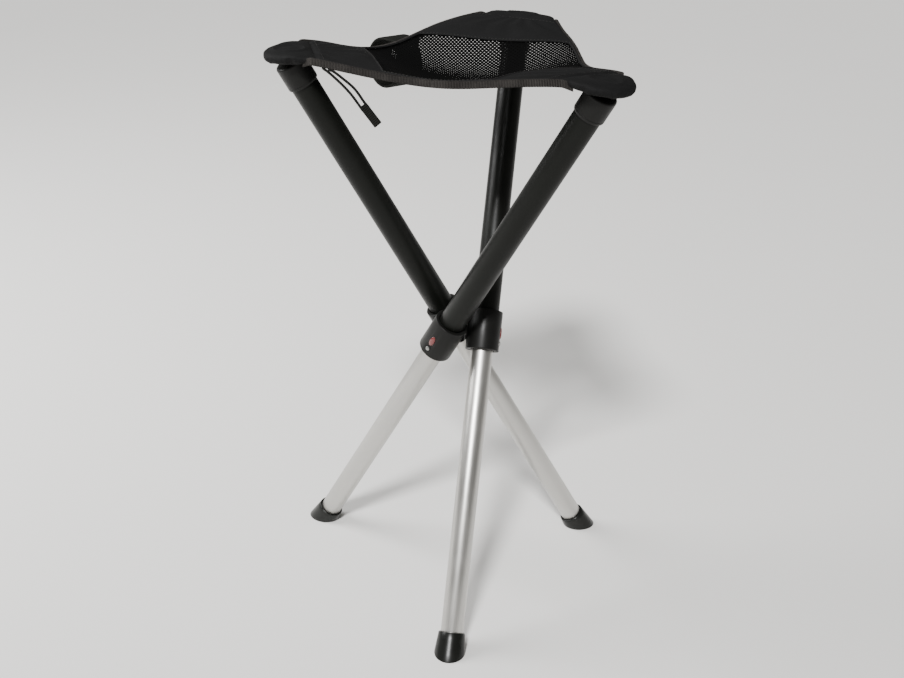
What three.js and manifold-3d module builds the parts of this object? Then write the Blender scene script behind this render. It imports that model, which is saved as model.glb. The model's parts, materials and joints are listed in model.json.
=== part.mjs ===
// Three-legged telescopic stool with a fabric and net seat, standing open with its legs drawn out.
// Millimetres, +Z up. The floor is Z = 0 and the feet stand on it.
//
// The three legs are skew lines round one upright centre line. Each turns on a level screw of a
// small hub, and all three fold upright together. A leg is an upper tube that carries the seat
// corner, and a lower tube that slides up into it. Each leg is built in its own leg frame:
// the origin is on the pivot screw, Z runs up the leg and X points straight away from the hub.

import * as THREE from 'three';
import { mergeVertices } from 'three/addons/utils/BufferGeometryUtils.js';
import Module from 'manifold-3d';

const wasm = await Module();
wasm.setup();

// Stance
const lean = THREE.MathUtils.degToRad(31.12);
const hubArm = 25;
const footReach = 316.7;
const legCount = 3;
const legTurn = (2 * Math.PI) / legCount;
const legNames = ['back', 'left', 'right'];
const edgeNames = ['left', 'front', 'right'];

// Clearances
const seatGap = 0.3;
const slideGap = 0.4;
const clothGap = 0.4;
const overrun = 5;
const weldDistance = 1e-4;

// Upper tube and its cap
const upperRadius = 13;
const upperWall = 1.2;
const upperLow = -6;
const capRise = 17.1;
const capThickness = 4;
const capSkirt = 24;
const capRadius = 14.8;
const capShoulder = 2.4;
const capLip = 0.7;

// Collar at the foot of the upper tube
const collarRadius = 17;
const collarHalf = 20;
const collarChamfer = 0.8;

// Lower tube with its plug and foot
const lowerRadius = 11;
const lowerWall = 1.2;
const lowerHigh = 29;
const soleThickness = 12.2;
const plugFlange = 3;
const plugStem = 14;
const plugBore = 4.5;
const footFlank = 19.2;
const footRimRadius = 13;
const footSoleRadius = 15.2;

// Hub and pivot screws
const hubCore = 5.9;
const hubHalf = 14;
const hubNose = 2;
const bossRadius = 5.4;
const screwRadius = 2.6;
const screwInner = 2.4;
const screwHeadRadius = 5;
const screwHeadOuter = 1.5;

// Lock in the collar: red release button, steel locking pin and the spring strip that carries both
const lockTravel = 1.5;
const stripInner = 14.9;
const stripThickness = 0.6;
const stripHalfWidth = 3.2;
const stripLow = -15.2;
const stripHigh = 15.5;
const buttonCentre = -1.3;
const buttonHalfWidth = 2.7;
const buttonHalfLength = 5.6;
const buttonStand = 1.1;
const pinCentre = -12.1;
const pinRadius = 2.2;
const pinInner = 12.9;
const pinStand = 0.9;

// Seat outline, in the plan
const cornerReach = 157;
const lobeRadius = 32.5;
const edgeDrawIn = THREE.MathUtils.degToRad(4.4);
const pocketSetBack = 14;
const panelReach = 75;
const edgeBandReach = 10;
const bindingWidth = 2.2;

// Seat heights
const seatRise = 26.65;
const edgeSag = 11.5;
const cornerFlat = 25;
const sagRun = 110;
const bowlDepth = 20;
const tipDroop = 4.5;
const tipStart = 3;
const pocketThickness = 11.5;
const pocketThin = 7;
const pocketSwell = [-11, 17];
const pocketCrownShare = 0.4;
const clothThickness = 2.2;
const bindingHeight = 6.6;
const netThickness = 2.4;

// Net
const netPitch = 12;
const netStrand = 2.4;
const netMargin = 3;

// Carrying loop on the left edge
const loopRadius = 25;
const loopThickness = 2.4;
const loopWidth = 25;
const loopShift = -20;
const loopStandOff = 20;
const loopDrop = 3;

// Pull cord on the front edge, beside the left corner: points along the edge and up, from where it leaves
const cordDiameter = 2.4;
const cordSides = 8;
const cordDip = 2;
const tagWidth = 8;
const tagLength = 16;
const tagThickness = 2.4;
const cordInsets = [41.4, 35.6];
const cordRoutes = [
  [[4.2, -3.7], [12.4, -8.7], [22.6, -15.7], [27.8, -21.1], [33, -27.7], [37.4, -32.1]],
  [[4.2, -4.6], [12.5, -10.6], [20, -16.6], [27, -23.2], [33, -30.2], [37.8, -36]],
];

// Counts
const roundSides = 24;
const smallSides = 16;
const gapSides = 4;
const arcSteps = 12;

// Derived places
const pivotHeight = footReach * Math.cos(lean);
const upperInner = upperRadius - upperWall;
const lowerInner = lowerRadius - lowerWall;
const cornerRun = Math.sqrt(cornerReach ** 2 - hubArm ** 2);
const legAtCorner = cornerRun / Math.sin(lean);
const capTop = legAtCorner + capRise;
const capInside = capTop - capThickness;
const capLow = capTop - capSkirt;
const lowerLow = soleThickness - footReach;
const seatTop = pivotHeight + legAtCorner * Math.cos(lean) + seatRise;
const cornerAngle = Math.atan2(cornerRun, hubArm);
const cos60 = 1 / 2;
const sin60 = Math.sqrt(3) / 2;
const chordReach = cornerReach * cos60;
const chordHalf = cornerReach * sin60;
const edgeHalf = chordHalf - lobeRadius * Math.sin(edgeDrawIn);
const edgeEnd = lobeRadius * Math.cos(edgeDrawIn);
const edgeMid = edgeEnd - (Math.tan(edgeDrawIn) * edgeHalf) / 2;
const edgeCurve = (edgeEnd - edgeMid) / edgeHalf ** 2;
const pocketLine = cornerReach - pocketSetBack;
const netCornerReach = cornerReach - panelReach;
const netEdgeReach = chordReach + edgeMid - edgeBandReach;

// A closed geometry as a solid for joining and cutting.
function solid(geometry) {
  const bare = geometry.index ? geometry.toNonIndexed() : geometry.clone();
  bare.deleteAttribute('normal');
  bare.deleteAttribute('uv');
  const merged = mergeVertices(bare, weldDistance);
  const triangles = [];
  const index = merged.index.array;
  for (let i = 0; i < index.length; i += 3) {
    const [a, b, c] = [index[i], index[i + 1], index[i + 2]];
    if (a !== b && b !== c && c !== a) triangles.push(a, b, c);
  }
  return new wasm.Manifold(
    new wasm.Mesh({
      numProp: 3,
      vertProperties: new Float32Array(merged.attributes.position.array),
      triVerts: new Uint32Array(triangles),
    }),
  );
}

// A solid back as a geometry with flat shading.
function shell(body) {
  const mesh = body.getMesh();
  const geometry = new THREE.BufferGeometry();
  geometry.setAttribute('position', new THREE.BufferAttribute(mesh.vertProperties.slice(), 3));
  geometry.setIndex(new THREE.BufferAttribute(mesh.triVerts.slice(), 1));
  geometry.computeVertexNormals();
  return geometry;
}

function cut(geometry, ...tools) {
  let body = solid(geometry);
  for (const tool of tools) body = body.subtract(solid(tool));
  return shell(body);
}

function join(...geometries) {
  let body = solid(geometries[0]);
  for (const other of geometries.slice(1)) body = body.add(solid(other));
  return shell(body);
}

// A closed profile of [radius, height] points turned about Z.
function turned(profile, sides = roundSides) {
  const points = profile.map(([radius, height]) => new THREE.Vector2(radius, height));
  return new THREE.LatheGeometry(points, sides).rotateX(Math.PI / 2);
}

function ring(outer, inner, low, high, sides = roundSides) {
  return turned([[inner, low], [outer, low], [outer, high], [inner, high], [inner, low]], sides);
}

function rod(radius, low, high, sides = roundSides) {
  return turned([[0, low], [radius, low], [radius, high], [0, high]], sides);
}

function rodBetween(lowRadius, low, highRadius, high) {
  return turned([[0, low], [lowRadius, low], [highRadius, high], [0, high]]);
}

// A rod or turned profile laid along +X, from the axis of a leg outwards.
function alongX(geometry) {
  return geometry.rotateY(Math.PI / 2);
}

function block(xLow, xHigh, yHalf, zLow, zHigh) {
  const box = new THREE.BoxGeometry(xHigh - xLow, 2 * yHalf, zHigh - zLow);
  return box.translate((xLow + xHigh) / 2, 0, (zLow + zHigh) / 2);
}

// An oval plate that faces +X, from one depth to another.
function oval(halfWidth, halfLength, xLow, xHigh, zCentre) {
  const disc = alongX(rod(1, 0, 1, smallSides));
  return disc.scale(xHigh - xLow, halfWidth, halfLength).translate(xLow, 0, zCentre);
}

function material(color, roughness, metalness) {
  return new THREE.MeshStandardMaterial({ color, roughness, metalness });
}

const blackTube = material(0x17181a, 0.42, 0.6);
const silverTube = material(0xc4c6c4, 0.32, 0.95);
const blackPlastic = material(0x1b1c1b, 0.5, 0);
const footRubber = material(0x101110, 0.38, 0);
const steel = material(0xb4b6b8, 0.3, 1);
const redPlastic = material(0x8e2f2c, 0.35, 0);
const cloth = material(0x202124, 0.9, 0);
const tape = material(0x3b3639, 0.85, 0);
const netting = material(0x1a1b1d, 0.8, 0);

function piece(name, geometry, finish, parent) {
  const mesh = new THREE.Mesh(geometry, finish);
  mesh.name = name;
  parent.add(mesh);
  return mesh;
}

// Hub: a slim core with three short bosses that the collars turn against
function hubGeometry() {
  const core = turned([
    [0, -hubHalf],
    [hubCore - hubNose, -hubHalf],
    [hubCore, hubNose - hubHalf],
    [hubCore, hubHalf - hubNose],
    [hubCore - hubNose, hubHalf],
    [0, hubHalf],
  ]);
  const bossEnd = hubArm - collarRadius - seatGap;
  const bosses = [];
  const holes = [];
  for (let leg = 0; leg < legCount; leg += 1) {
    bosses.push(alongX(rod(bossRadius, 0, bossEnd, smallSides)).rotateZ(leg * legTurn));
    const bore = rod(screwRadius + seatGap, screwInner - seatGap, bossEnd + overrun, smallSides);
    holes.push(alongX(bore).rotateZ(leg * legTurn));
  }
  return cut(join(core, ...bosses), ...holes);
}

// Pivot screw in the leg frame: its head sits inside the collar wall, its shank ends in the hub
function screwGeometry() {
  const headInner = upperRadius + slideGap;
  const headOuter = headInner + screwHeadOuter;
  const screw = turned([
    [0, headInner],
    [screwHeadRadius, headInner],
    [screwHeadRadius, headOuter],
    [screwRadius, headOuter],
    [screwRadius, hubArm - screwInner],
    [0, hubArm - screwInner],
  ], smallSides);
  return screw.rotateY(-Math.PI / 2);
}

function upperTubeGeometry() {
  return ring(upperRadius, upperInner, upperLow, capInside - seatGap);
}

function capGeometry() {
  return turned([
    [0, capInside],
    [upperRadius + seatGap, capInside],
    [upperRadius + seatGap, capLow],
    [capRadius - capLip, capLow],
    [capRadius, capLow + capLip],
    [capRadius, capTop - capShoulder],
    [capRadius - capShoulder / 3, capTop - capShoulder / 3],
    [capRadius - capShoulder, capTop],
    [0, capTop],
  ]);
}

// Collar: a sleeve with two bores, a counterbore for the screw head and a pocket for the lock
function collarGeometry() {
  const upperBore = upperRadius + seatGap;
  const lowerBore = lowerRadius + slideGap;
  const sleeve = turned([
    [lowerBore, -collarHalf],
    [collarRadius - collarChamfer, -collarHalf],
    [collarRadius, collarChamfer - collarHalf],
    [collarRadius, collarHalf - collarChamfer],
    [collarRadius - collarChamfer, collarHalf],
    [upperBore, collarHalf],
    [upperBore, upperLow - seatGap],
    [lowerBore, upperLow - seatGap],
    [lowerBore, -collarHalf],
  ]);
  const headOuter = upperRadius + slideGap + screwHeadOuter + seatGap;
  const counterbore = rod(screwHeadRadius + seatGap, upperInner, headOuter, smallSides);
  const shankHole = rod(screwRadius + seatGap, upperInner, collarRadius + overrun, smallSides);
  const stripOuter = stripInner + stripThickness;
  const lockPocket = block(
    stripInner - lockTravel - overrun,
    stripOuter + seatGap,
    stripHalfWidth + seatGap,
    stripLow - seatGap,
    stripHigh + seatGap,
  );
  const buttonHole = oval(
    buttonHalfWidth + seatGap,
    buttonHalfLength + seatGap,
    stripInner,
    collarRadius + overrun,
    buttonCentre,
  );
  const pinHole = alongX(rod(pinRadius + seatGap, lowerRadius, collarRadius + overrun, smallSides));
  return cut(
    sleeve,
    counterbore.rotateY(-Math.PI / 2),
    shankHole.rotateY(-Math.PI / 2),
    lockPocket,
    buttonHole,
    pinHole.translate(0, 0, pinCentre),
  );
}

// Spring strip with the hole that the locking pin is fixed in
function stripGeometry() {
  const strip = block(stripInner, stripInner + stripThickness, stripHalfWidth, stripLow, stripHigh);
  const hole = alongX(rod(pinRadius + seatGap, lowerRadius, collarRadius, smallSides));
  return cut(strip, hole.translate(0, 0, pinCentre));
}

function pinGeometry() {
  const outer = collarRadius + pinStand;
  const profile = [[0, pinInner], [pinRadius, pinInner], [pinRadius, outer - pinStand]];
  for (let step = 1; step < 4; step += 1) {
    const angle = (step / 4) * (Math.PI / 2);
    profile.push([pinRadius * Math.cos(angle), outer - pinStand * (1 - Math.sin(angle))]);
  }
  profile.push([0, outer]);
  return alongX(turned(profile, smallSides)).translate(0, 0, pinCentre);
}

function buttonGeometry() {
  const inner = stripInner + stripThickness + seatGap;
  const outer = collarRadius + buttonStand;
  const dome = [[0, inner], [1, inner], [1, outer - buttonStand]];
  for (let step = 1; step < 4; step += 1) {
    const angle = (step / 4) * (Math.PI / 2);
    dome.push([Math.cos(angle), outer - buttonStand * (1 - Math.sin(angle))]);
  }
  dome.push([0, outer]);
  const button = alongX(turned(dome, smallSides));
  return button.scale(1, buttonHalfWidth, buttonHalfLength).translate(0, 0, buttonCentre);
}

function lowerTubeGeometry() {
  return ring(lowerRadius, lowerInner, lowerLow, lowerHigh);
}

// Plug in the head of the lower tube: its flange guides the tube inside the upper one
function plugGeometry() {
  const flangeLow = lowerHigh + seatGap;
  return turned([
    [plugBore, flangeLow - plugStem],
    [lowerInner - seatGap, flangeLow - plugStem],
    [lowerInner - seatGap, flangeLow],
    [upperInner - slideGap, flangeLow],
    [upperInner - slideGap, flangeLow + plugFlange],
    [plugBore, flangeLow + plugFlange],
    [plugBore, flangeLow - plugStem],
  ]);
}

// Foot: a flared rubber shoe, cut square at the rim and level at the sole
function footGeometry() {
  const rimDepth = footFlank - footReach;
  const bottom = -footReach - 2 * footSoleRadius;
  const flare = (footSoleRadius - footRimRadius) / footFlank;
  const bottomRadius = footRimRadius + flare * (rimDepth - bottom);
  const cone = rodBetween(bottomRadius, bottom, footRimRadius, rimDepth);
  const slabSize = 8 * footSoleRadius;
  const ground = new THREE.BoxGeometry(slabSize, slabSize, slabSize);
  ground.translate(0, 0, -slabSize / 2).rotateX(lean).translate(0, 0, -footReach);
  const socket = rod(lowerRadius + seatGap, lowerLow - seatGap, rimDepth + overrun);
  return cut(cone, ground, socket);
}

// Height of the seat's upper face over a plan point: highest over the leg caps, drooping at the tips,
// sagging to the edges' middle and deeper in the centre.
const cornerPoints = [];
for (let corner = 0; corner < legCount; corner += 1) {
  const angle = corner * legTurn;
  cornerPoints.push([cornerReach * Math.cos(angle), cornerReach * Math.sin(angle)]);
}

function seatHeight(x, y) {
  const nearest = Math.min(...cornerPoints.map(([cx, cy]) => Math.hypot(x - cx, y - cy)));
  const run = THREE.MathUtils.smoothstep(nearest, cornerFlat, cornerFlat + sagRun);
  const spread = (x * x + y * y) / (chordReach + edgeMid) ** 2;
  const bowl = spread < 1 ? (1 - spread) ** 1.5 : 0;
  const reach = Math.max(...cornerPoints.map(([cx, cy]) => (x * cx + y * cy) / cornerReach));
  const tip = THREE.MathUtils.smoothstep(reach - cornerReach, tipStart, lobeRadius);
  return seatTop - edgeSag * run - bowlDepth * bowl - tipDroop * tip;
}

// A point of a seat edge in the frame of the corner before it: X runs out to that corner.
// `along` is counted from the middle of the edge, and is negative on this corner's side.
function edgePoint(along, inset = 0) {
  const out = chordReach + edgeMid + edgeCurve * along ** 2 - inset;
  return [out * cos60 - along * sin60, out * sin60 + along * cos60];
}

// Where the edge, moved in by an inset, crosses a line square to the corner's direction.
function edgeCrossing(reach, inset = 0) {
  const rest = (chordReach + edgeMid - inset) / 2 - reach;
  return (sin60 - Math.sqrt(sin60 ** 2 - 2 * edgeCurve * rest)) / edgeCurve;
}

function halfWidth(reach, inset) {
  return edgePoint(edgeCrossing(reach, inset), inset)[1];
}

// A sheet over a grid of plan points, with upright sides: place(u, v) gives the plan point.
function sheet(place, across, up, thickness, height = seatHeight, drop = 0) {
  const positions = [];
  const index = [];
  const columns = across + 1;
  const rows = up + 1;
  for (let layer = 0; layer < 2; layer += 1) {
    for (let row = 0; row < rows; row += 1) {
      for (let column = 0; column < columns; column += 1) {
        const [x, y] = place(column / across, row / up);
        positions.push(x, y, height(x, y) - drop - layer * thickness);
      }
    }
  }
  const at = (layer, row, column) => (layer * rows + row) * columns + column;
  const face = (a, b, c, d) => index.push(a, b, c, a, c, d);
  for (let row = 0; row < up; row += 1) {
    for (let column = 0; column < across; column += 1) {
      face(at(0, row, column), at(0, row, column + 1), at(0, row + 1, column + 1), at(0, row + 1, column));
      face(at(1, row, column), at(1, row + 1, column), at(1, row + 1, column + 1), at(1, row, column + 1));
    }
    face(at(0, row, 0), at(0, row + 1, 0), at(1, row + 1, 0), at(1, row, 0));
    face(at(0, row + 1, across), at(0, row, across), at(1, row, across), at(1, row + 1, across));
  }
  for (let column = 0; column < across; column += 1) {
    face(at(0, 0, column + 1), at(0, 0, column), at(1, 0, column), at(1, 0, column + 1));
    face(at(0, up, column), at(0, up, column + 1), at(1, up, column + 1), at(1, up, column));
  }
  const geometry = new THREE.BufferGeometry();
  geometry.setAttribute('position', new THREE.Float32BufferAttribute(positions, 3));
  geometry.setIndex(index);
  geometry.computeVertexNormals();
  return geometry;
}

// Cloth panel between the pocket and the net, in the corner frame
function panelGeometry() {
  const inset = bindingWidth + clothGap;
  const low = netCornerReach + clothGap;
  const high = pocketLine - clothGap;
  const place = (u, v) => {
    const reach = low + (high - low) * v;
    return [reach, (2 * u - 1) * halfWidth(reach, inset)];
  };
  return sheet((u, v) => place(u, 1 - v), 10, 4, clothThickness);
}

// Cloth band between the net and the binding, in the frame of the corner before the edge
function bandGeometry() {
  const inset = bindingWidth + clothGap;
  const near = netEdgeReach + clothGap;
  const side = netCornerReach - clothGap;
  const nearEnd = (near * cos60 - side) / sin60;
  const farEnd = edgeCrossing(side, inset);
  const place = (u, v) => {
    const alongNear = nearEnd * (1 - 2 * u);
    const alongFar = farEnd * (1 - 2 * u);
    const [farX, farY] = edgePoint(alongFar, inset);
    const nearX = near * cos60 - alongNear * sin60;
    const nearY = near * sin60 + alongNear * cos60;
    return [nearX + (farX - nearX) * v, nearY + (farY - nearY) * v];
  };
  return sheet((u, v) => place(u, 1 - v), 14, 2, clothThickness);
}

// Woven binding tape folded over an edge, from pocket to pocket
function bindingGeometry() {
  const end = edgeCrossing(pocketLine - clothGap);
  const place = (u, v) => edgePoint(end * (1 - 2 * u), bindingWidth * v);
  return sheet(place, 22, 1, bindingHeight, seatHeight, -seatGap);
}

// Padded pocket over the head of a leg, in the corner frame, with its rim rounded
function pocketOutline() {
  const points = [];
  const start = edgeCrossing(pocketLine);
  const edgeSteps = 4;
  for (let step = 0; step < edgeSteps; step += 1) {
    const along = start + ((-edgeHalf - start) * step) / edgeSteps;
    points.push([...edgePoint(along), 1]);
  }
  const sweep = Math.PI / 3 + edgeDrawIn;
  const arc = [];
  for (let step = 0; step <= arcSteps; step += 1) {
    const angle = sweep - (2 * sweep * step) / arcSteps;
    arc.push([cornerReach + lobeRadius * Math.cos(angle), lobeRadius * Math.sin(angle), 1]);
  }
  const mirrored = points.map(([x, y, rim]) => [x, -y, rim]).reverse();
  const closing = [];
  const width = halfWidth(pocketLine, 0);
  for (let step = 1; step < 4; step += 1) {
    closing.push([pocketLine, width * (step / 2 - 1), 0]);
  }
  points[0][2] = 0;
  mirrored[mirrored.length - 1][2] = 0;
  return [...points, ...arc, ...mirrored, ...closing].reverse();
}

function pocketDepth(reach) {
  const swell = THREE.MathUtils.smoothstep(reach - cornerReach, ...pocketSwell);
  return pocketThin + (pocketThickness - pocketThin) * swell;
}

function pocketGeometry() {
  const outline = pocketOutline();
  const centre = [cornerReach - lobeRadius / 4, 0];
  const levelSteps = 3;
  const positions = [];
  const rings = [];
  const addRing = (angle, shareOfInset) => {
    rings.push(positions.length / 3);
    for (const [x, y, rim] of outline) {
      const reach = Math.hypot(x - centre[0], y - centre[1]);
      const half = pocketDepth(x) / 2;
      const inset = half * (1 - Math.cos(angle)) * rim + shareOfInset * reach;
      const scale = 1 - inset / reach;
      const px = centre[0] + (x - centre[0]) * scale;
      const py = centre[1] + (y - centre[1]) * scale;
      const depth = pocketDepth(px) / 2;
      const lift = rim === 0 ? Math.sign(angle) * depth : depth * Math.sin(angle);
      positions.push(px, py, seatHeight(px, py) - depth + lift);
    }
  };
  const quarter = Math.PI / 2;
  addRing(-quarter, pocketCrownShare);
  for (let step = -levelSteps; step <= levelSteps; step += 1) addRing((quarter * step) / levelSteps, 0);
  addRing(quarter, pocketCrownShare);
  const count = outline.length;
  const index = [];
  for (let band = 0; band < rings.length - 1; band += 1) {
    for (let i = 0; i < count; i += 1) {
      const j = (i + 1) % count;
      const [a, b] = [rings[band] + i, rings[band] + j];
      const [c, d] = [rings[band + 1] + j, rings[band + 1] + i];
      index.push(a, b, c, a, c, d);
    }
  }
  const low = positions.length / 3;
  positions.push(...centre, seatHeight(...centre) - pocketDepth(centre[0]));
  positions.push(...centre, seatHeight(...centre));
  for (let i = 0; i < count; i += 1) {
    const j = (i + 1) % count;
    index.push(low, rings[0] + j, rings[0] + i);
    index.push(low + 1, rings[rings.length - 1] + i, rings[rings.length - 1] + j);
  }
  const pillow = new THREE.BufferGeometry();
  pillow.setAttribute('position', new THREE.Float32BufferAttribute(positions, 3));
  pillow.setIndex(index);
  const hollow = rod(capRadius + clothGap, capLow, capTop + clothGap);
  hollow.rotateX(-lean).translate(hubArm, 0, pivotHeight).rotateZ(-cornerAngle);
  return cut(pillow, hollow);
}

// Net over the middle of the seat: a six-sided sheet with a diagonal grid of square gaps
function netGeometry() {
  const corner = netCornerReach - clothGap;
  const edge = netEdgeReach - clothGap;
  const outline = new THREE.Shape();
  const gaps = [];
  const insideAt = (x, y, margin) => {
    for (let side = 0; side < 2 * legCount; side += 1) {
      const angle = (side * legTurn) / 2;
      const reach = side % 2 === 0 ? corner : edge;
      if (x * Math.cos(angle) + y * Math.sin(angle) > reach - margin) return false;
    }
    return true;
  };
  const points = [];
  for (let side = 0; side < 2 * legCount; side += 1) {
    const angle = (side * legTurn) / 2;
    const here = side % 2 === 0 ? corner : edge;
    const next = side % 2 === 0 ? edge : corner;
    const tangent = (next - here * cos60) / sin60;
    points.push(new THREE.Vector2(
      here * Math.cos(angle) - tangent * Math.sin(angle),
      here * Math.sin(angle) + tangent * Math.cos(angle),
    ));
  }
  outline.setFromPoints(points);
  const half = (netPitch - netStrand) / 2;
  const rowPitch = netPitch * sin60;
  const count = Math.ceil((corner + edge) / rowPitch);
  for (let row = -count; row <= count; row += 1) {
    for (let column = -count; column <= count; column += 1) {
      const x = (column + (Math.abs(row) % 2) / 2) * netPitch;
      const y = row * rowPitch;
      if (!insideAt(x, y, half + netMargin)) continue;
      gaps.push(rod(half, -overrun, netThickness + overrun, gapSides).translate(x, y, 0));
    }
  }
  const flat = new THREE.ExtrudeGeometry(outline, { depth: netThickness, bevelEnabled: false });
  const net = cut(flat, ...gaps);
  const place = net.attributes.position;
  for (let i = 0; i < place.count; i += 1) {
    const [x, y] = [place.getX(i), place.getY(i)];
    place.setZ(i, seatHeight(x, y) - netThickness + place.getZ(i));
  }
  net.computeVertexNormals();
  return net;
}

// Webbing loop: a strip bent into a ring, with its two ends laid together and sewn to the binding
function loopGeometry() {
  const out = chordReach + edgeMid + edgeCurve * loopShift ** 2;
  const centreOut = out + loopStandOff;
  const centreUp = seatHeight(...edgePoint(loopShift)) - loopDrop - loopRadius;
  const tabTop = loopRadius;
  const tabLow = loopRadius - 2 * loopThickness;
  const tabEnd = seatGap - loopStandOff;
  const stop = Math.PI - Math.asin(tabLow / loopRadius);
  const steps = 2 * arcSteps;
  const outline = new THREE.Shape();
  const points = [new THREE.Vector2(tabEnd, tabLow), new THREE.Vector2(tabEnd, tabTop)];
  for (let step = 0; step <= steps; step += 1) {
    const angle = Math.PI / 2 - ((Math.PI / 2 + 2 * Math.PI - stop) * step) / steps;
    points.push(new THREE.Vector2(loopRadius * Math.cos(angle), loopRadius * Math.sin(angle)));
  }
  outline.setFromPoints(points.reverse());
  const hole = new THREE.Path();
  const inner = loopRadius - loopThickness;
  const inside = [];
  for (let step = 0; step < steps; step += 1) {
    const angle = (2 * Math.PI * step) / steps;
    inside.push(new THREE.Vector2(inner * Math.cos(angle), inner * Math.sin(angle)));
  }
  hole.setFromPoints(inside);
  outline.holes.push(hole);
  const strip = new THREE.ExtrudeGeometry(outline, { depth: loopWidth, bevelEnabled: false });
  strip.translate(0, 0, -loopWidth / 2).rotateX(Math.PI / 2);
  return strip.translate(centreOut, loopShift, centreUp);
}

// The cord hangs from the underside of the binding, in an upright plane along the edge
const cordStarts = cordInsets.map((inset) => inset - chordHalf);
const cordOut = chordReach + edgeMid + edgeCurve * cordStarts[0] ** 2 - bindingWidth / 2;

function cordPoints(route, start) {
  const top = seatHeight(...edgePoint(start)) - bindingHeight;
  return [[0, 0], [0, -cordDip], ...route].map(([along, up]) => [start + along, top + up]);
}

function cordCurve(route, start) {
  const points = cordPoints(route, start).map(([along, up]) => new THREE.Vector3(cordOut, along, up));
  return new THREE.CatmullRomCurve3(points);
}

function cordGeometry(route, start) {
  const section = new THREE.Shape();
  const radius = cordDiameter / 2;
  const corners = [];
  for (let side = 0; side < cordSides; side += 1) {
    const angle = (2 * Math.PI * side) / cordSides;
    corners.push(new THREE.Vector2(radius * Math.cos(angle), radius * Math.sin(angle)));
  }
  section.setFromPoints(corners);
  const curve = cordCurve(route, start);
  const steps = Math.ceil(curve.getLength() / (2.5 * cordDiameter));
  return new THREE.ExtrudeGeometry(section, { steps, extrudePath: curve, bevelEnabled: false });
}

// Tag that holds the two cord ends, laid on from where they stop
function tagGeometry() {
  const strands = cordRoutes.map((route, order) => cordPoints(route, cordStarts[order]));
  const ends = strands.map((points) => points[points.length - 1]);
  const starts = strands.map((points) => points[points.length - 2]);
  const middle = [(ends[0][0] + ends[1][0]) / 2, (ends[0][1] + ends[1][1]) / 2];
  const before = [(starts[0][0] + starts[1][0]) / 2, (starts[0][1] + starts[1][1]) / 2];
  const angle = Math.atan2(middle[1] - before[1], middle[0] - before[0]);
  const setBack = cordDiameter / 2 + seatGap;
  const tag = new THREE.BoxGeometry(tagThickness, tagLength, tagWidth);
  tag.translate(0, tagLength / 2 + setBack, 0).rotateX(angle);
  return tag.translate(cordOut, middle[0], middle[1]);
}

const geometries = {
  screw: screwGeometry(),
  upperTube: upperTubeGeometry(),
  cap: capGeometry(),
  collar: collarGeometry(),
  strip: stripGeometry(),
  pin: pinGeometry(),
  button: buttonGeometry(),
  lowerTube: lowerTubeGeometry(),
  plug: plugGeometry(),
  foot: footGeometry(),
  panel: panelGeometry(),
  band: bandGeometry(),
  binding: bindingGeometry(),
  pocket: pocketGeometry(),
};

const stool = new THREE.Group();
piece('pivot_hub', hubGeometry(), blackPlastic, stool).position.z = pivotHeight;

legNames.forEach((name, order) => {
  const turn = new THREE.Group();
  turn.rotation.z = order * legTurn;
  stool.add(turn);
  const leg = new THREE.Group();
  leg.position.set(hubArm, 0, pivotHeight);
  leg.rotation.x = -lean;
  turn.add(leg);
  piece(`${name}_upper_tube`, geometries.upperTube, blackTube, leg);
  piece(`${name}_leg_cap`, geometries.cap, blackPlastic, leg);
  piece(`${name}_collar`, geometries.collar, blackPlastic, leg);
  piece(`${name}_lock_spring`, geometries.strip, steel, leg);
  piece(`${name}_lock_pin`, geometries.pin, steel, leg);
  piece(`${name}_release_button`, geometries.button, redPlastic, leg);
  piece(`${name}_lower_tube`, geometries.lowerTube, silverTube, leg);
  piece(`${name}_tube_plug`, geometries.plug, blackPlastic, leg);
  piece(`${name}_foot`, geometries.foot, footRubber, leg);
  const pivot = new THREE.Group();
  pivot.position.set(hubArm, 0, pivotHeight);
  turn.add(pivot);
  piece(`${name}_pivot_screw`, geometries.screw, steel, pivot);
  const corner = new THREE.Group();
  corner.rotation.z = cornerAngle;
  turn.add(corner);
  piece(`${name}_corner_pocket`, geometries.pocket, cloth, corner);
  piece(`${name}_corner_panel`, geometries.panel, cloth, corner);
  piece(`${edgeNames[order]}_edge_band`, geometries.band, cloth, corner);
  piece(`${edgeNames[order]}_binding`, geometries.binding, tape, corner);
});

const net = piece('seat_net', netGeometry(), netting, stool);
net.rotation.z = cornerAngle;

const leftEdge = new THREE.Group();
leftEdge.rotation.z = cornerAngle + legTurn / 2;
stool.add(leftEdge);
piece('carry_loop', loopGeometry(), tape, leftEdge);

// The stool stands with the middle of its plan box on the origin.
const plan = new THREE.Box3().setFromObject(stool, true).getCenter(new THREE.Vector3());
stool.position.set(-plan.x, -plan.y, 0);

const frontEdge = new THREE.Group();
frontEdge.rotation.z = cornerAngle + (3 * legTurn) / 2;
stool.add(frontEdge);
cordRoutes.forEach((route, order) => {
  piece(`pull_cord_${order + 1}`, cordGeometry(route, cordStarts[order]), tape, frontEdge);
});
piece('pull_tag', tagGeometry(), tape, frontEdge);

export default stool;
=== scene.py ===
import json
import math

import bmesh
import bpy
import numpy as np
from bpy.props import FloatProperty, FloatVectorProperty, PointerProperty
from mathutils import Matrix, Vector


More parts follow.
